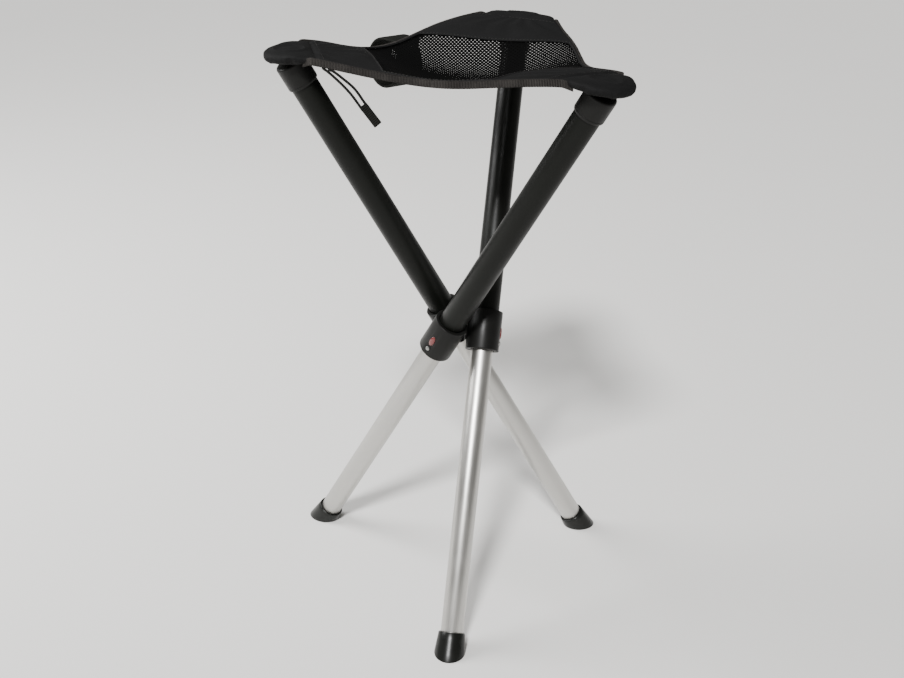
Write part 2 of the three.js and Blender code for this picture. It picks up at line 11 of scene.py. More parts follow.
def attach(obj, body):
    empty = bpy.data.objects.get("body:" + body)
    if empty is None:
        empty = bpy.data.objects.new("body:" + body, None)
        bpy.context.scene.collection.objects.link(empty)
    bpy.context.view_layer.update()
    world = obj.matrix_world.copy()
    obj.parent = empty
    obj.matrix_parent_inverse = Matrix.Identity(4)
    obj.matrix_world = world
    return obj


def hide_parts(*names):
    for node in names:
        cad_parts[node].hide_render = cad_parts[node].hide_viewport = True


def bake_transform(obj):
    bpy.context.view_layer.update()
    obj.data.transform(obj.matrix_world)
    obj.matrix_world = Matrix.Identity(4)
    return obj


bl_info = {
    "name": "Telescopic Stool",
    "version": (1, 0, 0),
    "blender": (4, 5, 0),
    "location": "View3D > Sidebar > Stool",
    "description": "Dresses a folding telescopic stool with a fabric seat over its CAD frame",
    "category": "Add Mesh",
}

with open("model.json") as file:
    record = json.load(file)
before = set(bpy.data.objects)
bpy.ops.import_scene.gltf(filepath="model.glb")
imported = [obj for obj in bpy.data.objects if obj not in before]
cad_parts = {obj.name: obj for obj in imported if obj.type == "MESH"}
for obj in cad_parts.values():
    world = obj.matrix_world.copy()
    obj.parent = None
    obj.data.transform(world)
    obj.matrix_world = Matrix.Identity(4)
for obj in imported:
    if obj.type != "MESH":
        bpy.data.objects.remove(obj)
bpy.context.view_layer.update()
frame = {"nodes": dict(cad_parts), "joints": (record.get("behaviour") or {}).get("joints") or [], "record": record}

# Sizes below are in millimetres, as in the part's source, and meshes are made in metres.
MM = 0.001
LEGS = ["back", "left", "right"]
EDGES = ["left", "front", "right"]

# Stance and tubes
FOOT_REACH = 316.7
HUB_ARM = 25.0
UPPER_RADIUS, UPPER_INNER, UPPER_LOW, UPPER_HIGH = 13.0, 11.8, -6.0, 312.7
LOWER_RADIUS, LOWER_INNER, LOWER_LOW, LOWER_HIGH = 11.0, 9.8, -304.5, 29.0
CAP_LOW, CAP_INSIDE, CAP_TOP, CAP_RADIUS, CAP_SHOULDER = 293.0, 313.0, 317.0, 14.8, 2.4
# The cap's rounded lip and the fine groove above it, inwards and up from the lip's corner
CAP_RIM = [(0.7, 0.0), (0.2, 0.2), (0.0, 0.7), (0.0, 2.6), (0.25, 2.8), (0.0, 3.0)]
COLLAR_RADIUS, COLLAR_HALF = 17.0, 20.0
FOOT_FLANK, FOOT_RIM_RADIUS, FOOT_SOLE_RADIUS, FOOT_LIP = 19.2, 13.0, 15.2, 0.8
SEAT_GAP, SLIDE_GAP, CLOTH_GAP = 0.3, 0.4, 0.4

# Lock in the collar
BUTTON_CENTRE, BUTTON_HALF_WIDTH, BUTTON_HALF_LENGTH, BUTTON_STAND = -1.3, 2.7, 5.6, 1.1
PIN_CENTRE, PIN_RADIUS, PIN_INNER, PIN_STAND = -12.1, 2.2, 12.9, 0.9
STRIP_INNER, STRIP_OUTER, STRIP_HALF_WIDTH, STRIP_LOW, STRIP_HIGH = 14.9, 15.5, 3.2, -15.2, 15.5
LOCK_TRAVEL = 1.5
SCREW_RADIUS, SCREW_HEAD_RADIUS, SCREW_HEAD_DEPTH = 2.6, 5.0, 1.5

# Seat, as in the part's source
CORNER_REACH, LOBE_RADIUS = 157.0, 32.5
EDGE_DRAW_IN = math.radians(4.4)
POCKET_LINE, NET_EDGE = 143.0, 100.5
# Reach of the net's line towards each corner, and its slant
NET_CORNER = {"back": (80.5, 0.12), "left": (90.0, 0.0), "right": (96.0, 0.0)}
SEAT_TOP, EDGE_SAG, BOWL_DEPTH, TIP_DROOP = 554.5, 11.5, 20.0, 4.5
BINDING_HEIGHT, BINDING_WIDTH = 6.6, 2.2
POCKET_THICK, POCKET_THIN = 11.5, 7.0
# How far the cover runs on under the pocket, and how far it dips there
TUCK, TUCK_DEPTH = 6.0, 1.6
# Steps across the hem and just past it, of a hem 6 wide
HEM_STEPS = [0, 0.25, 0.8, 1.6, 2.4, 3.2, 4.0, 4.8, 5.4, 6.0, 6.4]
# The net's rows against X, how far its sheet and its drawn cells run under the hem, and a cell's most edges
NET_TURN, NET_TUCK, NET_PAST_HEM, OPENING_EDGES_MOST = math.radians(8.3), 2.0, 3.4, 8
# Side of the square of net that each piece is cut from, in metres
NET_SHEET = 0.25
# The stitched seam along the pocket, from the pocket and from the tape
SEAM_INSET = 3.4
# The pocket's blank is this much thinner on each face, and the cloth simulation fills it out
PAD_SHRINK, PAD_PRESSURE, PAD_FRAMES = 0.8, 4.0, 20
# How far it may swell above and below before it is flattened, and the share that is kept past that
PAD_ABOVE, PAD_BELOW, PAD_KEPT = 0.6, 1.2, 0.35
# The cap's mark: reach of its ring and of the dip inside it as shares of the cap, and how wide they run out
MARK_RING, MARK_RING_WIDE, MARK_DIP, MARK_DIP_WIDE = 0.96, 2.0, 0.5, 6.0
CHORD_REACH, CHORD_HALF = CORNER_REACH / 2, CORNER_REACH * math.sqrt(3) / 2
EDGE_HALF = CHORD_HALF - LOBE_RADIUS * math.sin(EDGE_DRAW_IN)
EDGE_END = LOBE_RADIUS * math.cos(EDGE_DRAW_IN)
EDGE_MID = EDGE_END - math.tan(EDGE_DRAW_IN) * EDGE_HALF / 2
EDGE_CURVE = (EDGE_END - EDGE_MID) / EDGE_HALF**2
CORNER_ANGLE = math.atan2(math.sqrt(CORNER_REACH**2 - HUB_ARM**2), HUB_ARM)
COS60, SIN60 = 0.5, math.sqrt(3) / 2
# How the real cover has settled: at places along each edge, outwards and up, and at each corner, outwards,
# sideways, up and up again at its tip
EDGE_PLACES = [-160.0, -110.0, -70.0, -30.0, 10.0, 50.0, 90.0, 125.0, 160.0]
EDGE_OUTWARDS = {
    "left": [0.0] * 9,
    "front": [0.0] * 9,
    "right": [0.0, 0.0, 0.0, -1.5, 5.5, 9.0, 4.5, 3.0, 0.0],
}
EDGE_UPWARDS = {
    "left": [0.0, 1.5, 5.0, 3.5, -5.0, -8.0, -2.5, 0.0, 0.0],
    "front": [0.0, -2.5, -2.5, 0.0, 0.7, 1.2, 1.1, 3.0, 0.0],
    "right": [0.0, -1.7, -3.8, -4.5, -1.0, 0.0, 0.0, 0.0, 0.0],
}
CORNER_SETTLED = {"back": (0.0, -3.0, 3.0, 2.5), "left": (0.0, 0.0, 1.0, 1.5), "right": (2.0, 2.6, 0.0, 2.0)}
# The tape runs on to this reach of each corner, where it has gone in and down under the pocket
TAPE_REACH, TAPE_END_INSET, TAPE_END_DROP = 160.0, 5, 4
# Reaches where the cloth's bend from the hub to the leg would start and end; no step here bends the cloth
BEND_START, BEND_END = 74.0, 134.0

# Carrying loop and pull cord
LOOP_RADIUS, LOOP_THICK, LOOP_WIDTH, LOOP_SHIFT, LOOP_STAND_OFF, LOOP_DROP = 25.0, 2.4, 30.0, -15.5, 20.0, 3.0
CORD_DIAMETER, CORD_DIP = 2.4, 2.0
TAG_WIDTH, TAG_LENGTH, TAG_THICK = 8.0, 16.0, 2.4
# How far the tag reaches back over the strands' ends
TAG_OVERLAP = 4.5
CORD_STARTS = [-94.6, -100.4]
CORD_ROUTES = [
    [(-90.4, 542.6), (-82.2, 537.6), (-72.0, 530.6), (-66.8, 525.2), (-61.6, 518.6), (-57.2, 514.2)],
    [(-96.2, 542.2), (-87.9, 536.2), (-80.4, 530.2), (-73.4, 523.6), (-67.4, 516.6), (-62.6, 510.8)],
]
# Length of one twist of the thread and of the braided cord
THREAD_TWIST = 1.1

# Stage, in metres
KEY_PLACE, KEY_AIM = (-0.13, -1.5, 1.66), (0, 0, 0.2)
FILL_PLACE, FILL_AIM = (-1.5, 0.1, 1.3), (0, 0.5, 0.2)
WORLD_COLOUR = (1.0, 0.99, 0.96, 1)
# The camera's right, up and ahead, and its place from the point on the floor under the seat's middle
CAMERA_AXES = (0.98698, 0.15782, 0.03119), (-0.09115, 0.38882, 0.91679), (-0.13256, 0.9077, -0.39814)
CAMERA_PLACE = (0.17715104, -1.26190411, 0.81224963)


def joint(name):
    return next(row for row in frame["joints"] if row["name"] == name)


def leg_place(leg):
    """The leg frame as a matrix in metres: X straight out from the hub, Z up the leg."""
    fold = joint(f"{leg}_leg_fold")
    out = Vector(fold["axis"]).normalized()
    along = Vector(joint(f"{leg}_leg_slide")["axis"]).normalized()
    side = along.cross(out)
    place = Matrix((out, side, along)).transposed().to_4x4()
    place.translation = Vector(fold["pos_m"])
    return place


def seat_centre():
    place = leg_place("back")
    return place.translation - place.col[0].to_3d() * HUB_ARM * MM


def corner_place(order):
    """The corner frame in metres: on the floor under the seat's middle, X towards the corner."""
    out = leg_place("back").col[0].to_3d()
    angle = math.atan2(out.y, out.x) + CORNER_ANGLE + order * 2 * math.pi / 3
    centre = seat_centre()
    return Matrix.Translation((centre.x, centre.y, 0)) @ Matrix.Rotation(angle, 4, "Z")


# Shapes

def smooth(value, low, high):
    share = np.clip((np.asarray(value, float) - low) / (high - low), 0, 1)
    return share * share * (3 - 2 * share)


def seat_height(x, y):
    """Upper face of the seat over plan points of a corner frame, before it has settled."""
    x, y = np.asarray(x, float), np.asarray(y, float)
    reach, nearest = [], []
    for order in range(3):
        cos, sin = math.cos(order * 2 * math.pi / 3), math.sin(order * 2 * math.pi / 3)
        reach.append(x * cos + y * sin)
        nearest.append(np.hypot(x - CORNER_REACH * cos, y - CORNER_REACH * sin))
    run = smooth(np.min(nearest, axis=0), 25, 135)
    spread = (x * x + y * y) / (CHORD_REACH + EDGE_MID) ** 2
    bowl = np.clip(1 - spread, 0, None) ** 1.5
    tip = smooth(np.max(reach, axis=0), 160, CORNER_REACH + LOBE_RADIUS)
    return SEAT_TOP - EDGE_SAG * run - BOWL_DEPTH * bowl - TIP_DROOP * tip


def eased(along, values):
    """Values at the edge's places, with the bends between them rounded."""
    return sum(np.interp(along + offset, EDGE_PLACES, values) for offset in (-18, -6, 6, 18)) / 4


def settle(x, y, z, order):
    """Moves points of corner frame `order` as the real cover has settled along each of its edges."""
    x, y, z = (np.array(v, float) for v in (x, y, z))
    moves = [np.zeros_like(x) for _ in range(3)]
    for number, (edge, leg) in enumerate(zip(EDGES, LEGS)):
        angle = math.radians(60) + (number - order) * 2 * math.pi / 3
        cos, sin = math.cos(angle), math.sin(angle)
        out, along = x * cos + y * sin, y * cos - x * sin
        window = smooth(out, 15, 100)
        shift, lift = (eased(along, values[edge]) * window for values in (EDGE_OUTWARDS, EDGE_UPWARDS))
        angle = (number - order) * 2 * math.pi / 3
        corner_cos, corner_sin = math.cos(angle), math.sin(angle)
        reach = x * corner_cos + y * corner_sin
        share = smooth(reach, 112, 168)
        outwards, sideways, rise, tip_rise = CORNER_SETTLED[leg]
        moves[0] += shift * cos + (outwards * corner_cos - sideways * corner_sin) * share
        moves[1] += shift * sin + (outwards * corner_sin + sideways * corner_cos) * share
        moves[2] += lift + rise * share + tip_rise * smooth(reach, 160, 188)
    return x + moves[0], y + moves[1], z + moves[2]


def edge_point(along, inset=0.0):
    out = CHORD_REACH + EDGE_MID + EDGE_CURVE * along**2 - inset
    return out * COS60 - along * SIN60, out * SIN60 + along * COS60


def edge_crossing(reach, inset=0.0):
    rest = (CHORD_REACH + EDGE_MID - inset) / 2 - reach
    return (SIN60 - math.sqrt(SIN60**2 - 2 * EDGE_CURVE * rest)) / EDGE_CURVE


def rim_path(inset=0.0, pitch=2.0):
    """One corner's rim in plan: half of the edge before it, its lobe and half of the edge after it."""
    half = [edge_point(along, inset) for along in np.arange(0, -EDGE_HALF, -pitch)]
    sweep = math.pi / 3 + EDGE_DRAW_IN
    steps = int(2 * sweep * LOBE_RADIUS / pitch)
    radius = LOBE_RADIUS - inset
    turns = [-sweep + 2 * sweep * step / steps for step in range(steps + 1)]
    arc = [(CORNER_REACH + radius * math.cos(turn), radius * math.sin(turn)) for turn in turns]
    return np.array([(x, -y) for x, y in half] + arc + half[::-1])


def path_normals(path):
    along = np.gradient(path, axis=0)
    along /= np.linalg.norm(along, axis=1)[:, None]
    return np.stack([along[:, 1], -along[:, 0]], axis=1)


def net_reach(bearing, leg):
    """Where the net meets the cover's hem in a direction of a corner's frame."""
    reach, slant = NET_CORNER[leg]
    corner = reach / (math.cos(bearing) + slant * math.sin(bearing))
    return min(corner, NET_EDGE / math.cos(math.pi / 3 - abs(bearing)))


def pocket_depth(reach):
    return POCKET_THIN + (POCKET_THICK - POCKET_THIN) * smooth(reach, 146, 174)


def filleted(corners, radius, steps=4):
    """A closed outline of (a, b) corners with each corner rounded."""
    if radius <= 0:
        return corners
    outline = []
    for i, corner in enumerate(corners):
        here = Vector(corner)
        before, after = Vector(corners[i - 1]) - here, Vector(corners[(i + 1) % len(corners)]) - here
        half = before.angle(after) / 2
        reach = min(radius / math.tan(half), before.length * 0.49, after.length * 0.49)
        start, end = here + before.normalized() * reach, here + after.normalized() * reach
        for step in range(steps + 1):
            t = step / steps
            outline.append(tuple(start * (1 - t) ** 2 + here * 2 * t * (1 - t) + end * t**2))
    return outline


def flat_profile(half, wide, radius, steps):
    """The cross-section of a tape or a strap, with its edges rounded."""
    return filleted([(-half, -wide), (half, -wide), (half, wide), (-half, wide)], radius, steps)


def quarter(steps, first=0):
    """Cosine and sine at the steps of a quarter turn."""
    turns = [math.pi / 2 * step / steps for step in range(first, steps + 1)]
    return [(math.cos(turn), math.sin(turn)) for turn in turns]


def raised(height):
    return Matrix.Translation((0, 0, height * MM))


def ring_faces(rings, sides):
    """Faces between rings of points, with the first and the last ring closed."""
    faces = []
    for here in range(0, (rings - 1) * sides, sides):
        there = here + sides
        for i in range(sides):
            j = (i + 1) % sides
            faces.append((here + i, here + j, there + j, there + i))
    return [*faces, tuple(reversed(range(sides))), tuple(range((rings - 1) * sides, rings * sides))]


def shaded(mesh, sharp):
    """Shades a mesh smooth, apart from edges sharper than so many degrees."""
    mesh.shade_smooth()
    mesh.set_sharp_from_angle(angle=math.radians(sharp))


def added(name, data):
    """A new object in the scene."""
    obj = bpy.data.objects.new(name, data)
    bpy.context.scene.collection.objects.link(obj)
    return obj


def points_of(mesh):
    """A mesh's points in millimetres."""
    return np.array([v.co for v in mesh.vertices]) / MM


def set_points(mesh, points):
    """Moves a mesh's points to places in millimetres."""
    mesh.vertices.foreach_set("co", (points * MM).astype(np.float32).ravel())
    mesh.update()


def make(name, points, faces, place=None, finish=None, uv=None, sharp=35):
    """A mesh object from points in millimetres and faces, with its place worked into the mesh."""
    mesh = bpy.data.meshes.new(name)
    mesh.from_pydata([tuple(p) for p in np.asarray(points, float) * MM], [], [tuple(f) for f in faces])
    if uv is not None:
        flat = [pair for face in uv for pair in face]
        mesh.uv_layers.new(name="UVMap").data.foreach_set("uv", np.array(flat, np.float32).ravel())
    if place is not None:
        mesh.transform(place)
    mesh.validate()
    shaded(mesh, sharp)
    if finish is not None:
        mesh.materials.append(finish)
    return added(name, mesh)


def turned(name, profile, place, finish, sides=96, closed=False, sharp=35):
    """A profile of (radius, height) turned about Z: open profiles start and end on the axis."""
    points, rings = [], []
    for radius, height in profile:
        rings.append(len(points))
        for side in range(1 if radius == 0 else sides):
            angle = 2 * math.pi * side / sides
            points.append((radius * math.cos(angle), radius * math.sin(angle), height))
    lengths = np.cumsum([0] + [math.dist(profile[i], profile[i - 1]) for i in range(1, len(profile))]) * MM
    faces, uvs = [], []
    pairs = list(zip(range(len(profile) - 1), range(1, len(profile))))
    if closed:
        pairs.append((len(profile) - 1, 0))
    for low, high in pairs:
        bottom, top = lengths[low], lengths[high]
        for side in range(sides):
            after = (side + 1) % sides
            u, v = side / sides, (side + 1) / sides
            if profile[low][0] == 0:
                faces.append((rings[low], rings[high] + after, rings[high] + side))
                uvs.append([(u, bottom), (v, top), (u, top)])
            elif profile[high][0] == 0:
                faces.append((rings[low] + side, rings[low] + after, rings[high]))
                uvs.append([(u, bottom), (v, bottom), (u, top)])
            else:
                faces.append((rings[low] + side, rings[low] + after, rings[high] + after, rings[high] + side))
                uvs.append([(u, bottom), (v, bottom), (v, top), (u, top)])
    return make(name, points, faces, place, finish, uvs, sharp)


def plug(name, radius, low, high, place, sides):
    """A solid cylinder that a hole is cut with."""
    return turned(name, [(0, low), (radius, low), (radius, high), (0, high)], place, None, sides)


def tidy_normals(obj, merge=True):
    """Turns every face outwards, after points that coincide are merged."""
    shape = bmesh.new()
    shape.from_mesh(obj.data)
    if merge:
        bmesh.ops.remove_doubles(shape, verts=shape.verts, dist=1e-6)
    bmesh.ops.recalc_face_normals(shape, faces=shape.faces)
    shape.to_mesh(obj.data)
    shape.free()


def settle_modifiers(obj):
    """Bakes an object's modifiers into a plain mesh and removes them."""
    bpy.context.view_layer.update()
    graph = bpy.context.evaluated_depsgraph_get()
    evaluated = obj.evaluated_get(graph)
    mesh = bpy.data.meshes.new_from_object(evaluated, preserve_all_data_layers=True, depsgraph=graph)
    obj.modifiers.clear()
    old, obj.data = obj.data, mesh
    mesh.name = obj.name
    if old.users == 0:
        bpy.data.meshes.remove(old)


def carve(obj, cutters):
    """Cuts solids out of an object and removes them."""
    for cutter in cutters:
        modifier = obj.modifiers.new("Cut", "BOOLEAN")
        modifier.operation, modifier.solver, modifier.object = "DIFFERENCE", "EXACT", cutter
    settle_modifiers(obj)
    for cutter in cutters:
        bpy.data.objects.remove(cutter)
    shaded(obj.data, 30)


def swept(name, path, outwards, profile, finish, place, ups=None, sharp=35):
    """A closed profile of (outwards, up) carried along a path of points, with UV along the path."""
    path, outwards = np.asarray(path, float), np.asarray(outwards, float)
    ups = np.tile([0.0, 0.0, 1.0], (len(path), 1)) if ups is None else np.asarray(ups, float)
    count, sides = len(path), len(profile)
    points = []
    for middle, out, up in zip(path, outwards, ups):
        points += [middle + out * a + up * b for a, b in profile]
    run = np.concatenate([[0], np.cumsum(np.linalg.norm(np.diff(path, axis=0), axis=1))]) * MM
    girth = np.cumsum([0] + [math.dist(profile[i], profile[(i + 1) % sides]) for i in range(sides)]) * MM
    faces, uvs = [], []
    for step in range(count - 1):
        here, there = step * sides, (step + 1) * sides
        start, end = run[step], run[step + 1]
        for i in range(sides):
            j = (i + 1) % sides
            faces.append((here + i, there + i, there + j, here + j))
            uvs.append([(start, girth[i]), (end, girth[i]), (end, girth[i + 1]), (start, girth[i + 1])])
    last = (count - 1) * sides
    faces += [tuple(range(sides)), tuple(last + i for i in reversed(range(sides)))]
    uvs += [[(0, 0)] * sides] * 2
    obj = make(name, points, faces, place, finish, uvs, sharp)
    tidy_normals(obj, merge=False)
    return obj


def joined(name, objects):
    """Joins objects into the first one."""
    with bpy.context.temp_override(active_object=objects[0], selected_editable_objects=objects):
        bpy.ops.object.join()
    objects[0].name = objects[0].data.name = name
    return objects[0]


# Node trees written as sums

class Value:
    """A node's output socket that Python arithmetic turns into Math nodes."""

    def __init__(self, tree, socket):
        self.tree, self.socket = tree, socket

    def math(self, operation, *others):
        inputs = {0: self, **{i + 1: other for i, other in enumerate(others)}}
        return self.tree.node("ShaderNodeMath", {"operation": operation}, inputs).out(0)

    def behind(self, operation, first):
        return self.tree.node("ShaderNodeMath", {"operation": operation}, {0: first, 1: self}).out(0)

    def __add__(self, other):
        return self.math("ADD", other)

    def __sub__(self, other):
        return self.math("SUBTRACT", other)

    def __mul__(self, other):
        return self.math("MULTIPLY", other)

    def __truediv__(self, other):
        return self.math("DIVIDE", other)

    def __radd__(self, other):
        return self.behind("ADD", other)

    def __rsub__(self, other):
        return self.behind("SUBTRACT", other)

    def __rmul__(self, other):
        return self.behind("MULTIPLY", other)

    def sine(self):
        return self.math("SINE")

    def cosine(self):
        return self.math("COSINE")

    def absolute(self):
        return self.math("ABSOLUTE")

    def clamped(self):
        return self.tree.node("ShaderNodeClamp", {}, {"Value": self}).out(0)


class Made:
    """A node with its outputs as values."""

    def __init__(self, tree, node):
        self.tree, self.node = tree, node

    def out(self, key):
        return Value(self.tree, self.node.outputs[key])


class Tree:
    """A node tree with one method that adds any node."""

    def __init__(self, tree):
        self.tree = tree

    def node(self, kind, settings=None, inputs=None):
        node = self.tree.nodes.new(kind)
        for key, value in (settings or {}).items():
            if key == "stops":
                ramp = node.color_ramp.elements
                while len(ramp) < len(value):
                    ramp.new(0.5)
                for element, (place, shade) in zip(ramp, value):
                    element.position = place
                    element.color = (*shade, 1) if hasattr(shade, "__len__") else (shade, shade, shade, 1)
            else:
                setattr(node, key, value)
        for key, value in (inputs or {}).items():
            self.feed(node.inputs[key], value)
        return Made(self, node)

    def feed(self, socket, value):
        if isinstance(value, Value):
            self.tree.links.new(value.socket, socket)
        else:
            socket.default_value = value

    def parts(self, vector):
        split = self.node("ShaderNodeSeparateXYZ", {}, {0: vector})
        return split.out(0), split.out(1), split.out(2)

    def vector(self, x=0.0, y=0.0, z=0.0):
        return self.node("ShaderNodeCombineXYZ", {}, {0: x, 1: y, 2: z}).out(0)


class Finish(Tree):
    """A procedural material round one Principled shader."""

    def __init__(self, name):
        self.material = bpy.data.materials.new(name)
        self.material.use_nodes = True
        super().__init__(self.material.node_tree)
        self.tree.nodes.clear()
        self.shader = self.node("ShaderNodeBsdfPrincipled")
        self.node("ShaderNodeOutputMaterial", {}, {"Surface": self.shader.out("BSDF")})

    def set(self, **values):
        for key, value in values.items():
            self.feed(self.shader.node.inputs[key.replace("_", " ")], value)

    def coords(self, kind="Object"):
        return self.node("ShaderNodeTexCoord").out(kind)

    def noise(self, vector, scale, detail=3.0, roughness=0.5):
        inputs = {"Vector": vector, "Scale": scale, "Detail": detail, "Roughness": roughness}
        return self.node("ShaderNodeTexNoise", {}, inputs).out(0)

    def shades(self, factor, dark, light):
        mixed = self.node("ShaderNodeMix", {"data_type": "RGBA"}, {0: factor, 6: (*dark, 1), 7: (*light, 1)})
        return mixed.out(2)

    def mottled(self, factor, shade, least, most):
        """Varies the base colour between two shares of a shade."""
        self.set(Base_Color=self.shades(factor, tinted(shade, least), tinted(shade, most)))

    def ranged(self, value, low, high, to_low, to_high):
        inputs = {"Value": value, "From Min": low, "From Max": high, "To Min": to_low, "To Max": to_high}
        return self.node("ShaderNodeMapRange", {}, inputs).out(0)

    def bump(self, height, distance, strength=1.0):
        inputs = {"Height": height, "Distance": distance, "Strength": strength}
        self.set(Normal=self.node("ShaderNodeBump", {}, inputs).out(0))


# Finishes

def tinted(shade, share):
    return [min(1, c * share) for c in shade]


def powder_coat(shade):
    """Satin black coating on drawn tube: fine orange peel and faint handling marks."""
    finish = Finish("black_powder_coat")
    place = finish.coords()
    peel = finish.noise(place, 1400, 2)
    marks = finish.noise(place, 55, 4, 0.6)
    finish.mottled(marks, shade, 0.8, 1.3)
    finish.set(Roughness=finish.ranged(marks, 0.3, 0.7, 0.34, 0.46), Specular_IOR_Level=0.16)
    finish.bump(peel, 0.00004, 0.6)
    return finish.material


def drawn_tube(shade):
    """Satin silver tube with fine streaks along its length, laid out by the tube's own UV."""
    finish = Finish("silver_drawn_tube")
    u, v, _ = finish.parts(finish.coords("UV"))
    turn = u * (2 * math.pi)
    streak = finish.noise(finish.vector(turn.cosine(), turn.sine(), v * 1.2), 34, 4, 0.65)
    cloud = finish.noise(finish.coords(), 24, 3)
    finish.mottled(streak, shade, 0.86, 1.1)
    finish.set(Metallic=1.0, Roughness=finish.ranged(streak + cloud, 0.7, 1.3, 0.3, 0.42))
    finish.bump(streak, 0.00003, 0.5)
    return finish.material


def moulded(name, shade, rough, grain_scale, grain_depth, gloss=0.5, coat=0.0):
    """Moulded plastic or rubber with an even spark-eroded grain and slightly uneven gloss."""
    finish = Finish(name)
    place = finish.coords()
    grain = finish.noise(place, grain_scale, 3, 0.6)
    cloud = finish.noise(place, 60, 3)
    finish.mottled(cloud, shade, 0.82, 1.25)
    finish.set(Roughness=finish.ranged(cloud, 0.3, 0.7, rough - 0.05, rough + 0.07))
    finish.set(Coat_Weight=coat, Coat_Roughness=0.12, Specular_IOR_Level=gloss)
    finish.bump(grain, grain_depth, 0.7)
    return finish.material


def bright_steel(shade):
    """Plain bright steel with a faint uneven shine."""
    finish = Finish("bright_steel")
    cloud = finish.noise(finish.coords(), 900, 3)
    finish.mottled(cloud, shade, 0.85, 1.0)
    finish.set(Metallic=1.0, Roughness=finish.ranged(cloud, 0.3, 0.7, 0.2, 0.32))
    finish.bump(cloud, 0.00002, 0.4)
    return finish.material


def coated_weave(name, shade, pitch, depth):
    """Plain weave of charcoal yarn with a dull coating, laid out over the plan."""
    finish = Finish(name)
    x, y, _ = finish.parts(finish.coords())
    rate = math.pi / (pitch * MM)
    over = ((x * rate).sine() * (y * rate).sine()).absolute()
    cloud = finish.noise(finish.coords(), 18, 4, 0.6)
    slub = finish.noise(finish.coords(), 420, 2, 0.5)
    finish.mottled(cloud * 0.55 + slub * 0.3 + over * 0.25, shade, 0.6, 1.5)
    finish.set(Roughness=finish.ranged(cloud, 0.3, 0.7, 0.62, 0.78), Specular_IOR_Level=0.05)
    finish.bump(over * 0.6 + slub * 0.4, depth * MM, 0.8)
    return finish.material


def ribbed_tape(name, dark, light, pitch):
    """Woven tape with cross ribs, laid out by the tape's own UV, in metres along and across. Its colour runs from
    painted shade in the grooves to a painted highlight on the ribs' crests.
    """
    finish = Finish(name)
    u, v, _ = finish.parts(finish.coords("UV"))
    rib = (u * (2 * math.pi / (pitch * MM))).sine() * 0.5 + 0.5
    yarn = (v * (2 * math.pi / (0.7 * MM))).sine() * 0.5 + 0.5
    cloud = finish.noise(finish.coords(), 60, 4, 0.6)
    fuzz = finish.noise(finish.coords(), 1500, 2)
    # Painted light and shade: the ribs' crests take the light colour and their grooves the dark one, over a random
    # cloud and fuzz
    tone = rib * 0.55 + cloud * 0.45 + fuzz * 0.2 + yarn * 0.05 - 0.3
    finish.set(Base_Color=finish.shades(tone.clamped(), dark, light), Roughness=0.82)
    finish.set(Specular_IOR_Level=0.08)
    finish.bump(rib * 0.7 + yarn * 0.15 + fuzz * 0.15, 0.00035, 0.8)
    return finish.material


def knitted_net(shade):
    """Dull black yarn with a little fuzz."""
    finish = Finish("knitted_net")
    place = finish.coords()
    fuzz, cloud = finish.noise(place, 1800, 2), finish.noise(place, 30, 3)
    finish.mottled(fuzz * 0.6 + cloud * 0.4, shade, 0.7, 1.5)
    finish.set(Roughness=0.75, Specular_IOR_Level=0.04)
    finish.bump(fuzz, 0.00015, 0.8)
    return finish.material


def thread(name, dark, light):
    """Twisted thread or braided cord: a fine slanting pattern from the place itself, painted from a dark to a
    light colour as painted shade between the twists and a painted highlight on them.
    """
    finish = Finish(name)
    x, y, z = finish.parts(finish.coords())
    rate = 2 * math.pi / (THREAD_TWIST * MM)
    twist, cross = (((x + y + z * slant) * rate).sine() * 0.5 + 0.5 for slant in (1.6, -1.6))
    # Painted shade and highlight: the twists run from the dark colour to the light one
    finish.set(Base_Color=finish.shades(twist * cross, dark, light), Roughness=0.8, Specular_IOR_Level=0.2)
    finish.bump(twist * cross, 0.0002, 0.8)
    return finish.material


def paper_floor(name, shade):
    """Matt paper with a very faint cloud in its tone."""
    finish = Finish(name)
    finish.mottled(finish.noise(finish.coords(), 2.2, 3), shade, 0.985, 1.015)
    finish.set(Roughness=0.85, Specular_IOR_Level=0.2)
    return finish.material


FINISHES = {}


def finish_for(slot):
    """The finish of a material slot of the record, made when it is first asked for."""
    if not FINISHES:
        look = bpy.context.scene.stool_colours
        FINISHES.update({
            "black_tube": powder_coat(look.tube_black),
            "silver_tube": drawn_tube(look.tube_silver),
            "black_plastic": moulded("moulded_black", look.plastic, 0.38, 900, 0.00006, 0.17),
            "red_plastic": moulded("gloss_red", look.red, 0.22, 700, 0.00002, 0.5, 0.6),
            "rubber": moulded("foot_rubber", look.rubber, 0.3, 650, 0.00004, 0.28),
            "steel": bright_steel(look.steel),
            "cloth": coated_weave("coated_cloth", look.cloth, 0.95, 0.12),
            "netting": knitted_net(look.net),
            # The tape, strap, cord and thread are painted between the shadowed and the lit yarn colours: painted
            # shade and highlight
            "tape": ribbed_tape("ribbed_tape", look.tape_dark, look.tape_light, 1.4),
            "strap": ribbed_tape("strap_webbing", look.tape_dark, [c * 1.8 for c in look.strap], 1.8),
            "cord": thread("braided_cord", look.tape_dark, look.strap),
            "thread": thread("sewing_thread", look.cloth, look.tape_light),
        })
    return FINISHES[slot]


def placed(obj, body=None, bend=None, nodes=()):
    """Hides the CAD nodes that a finished piece replaces, then parents it to its body, or, when a bend is given,
    bakes its place into its mesh.
    """
    if nodes:
        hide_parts(*nodes)
    if bend is not None:
        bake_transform(obj)
    else:
        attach(obj, body)
    return obj


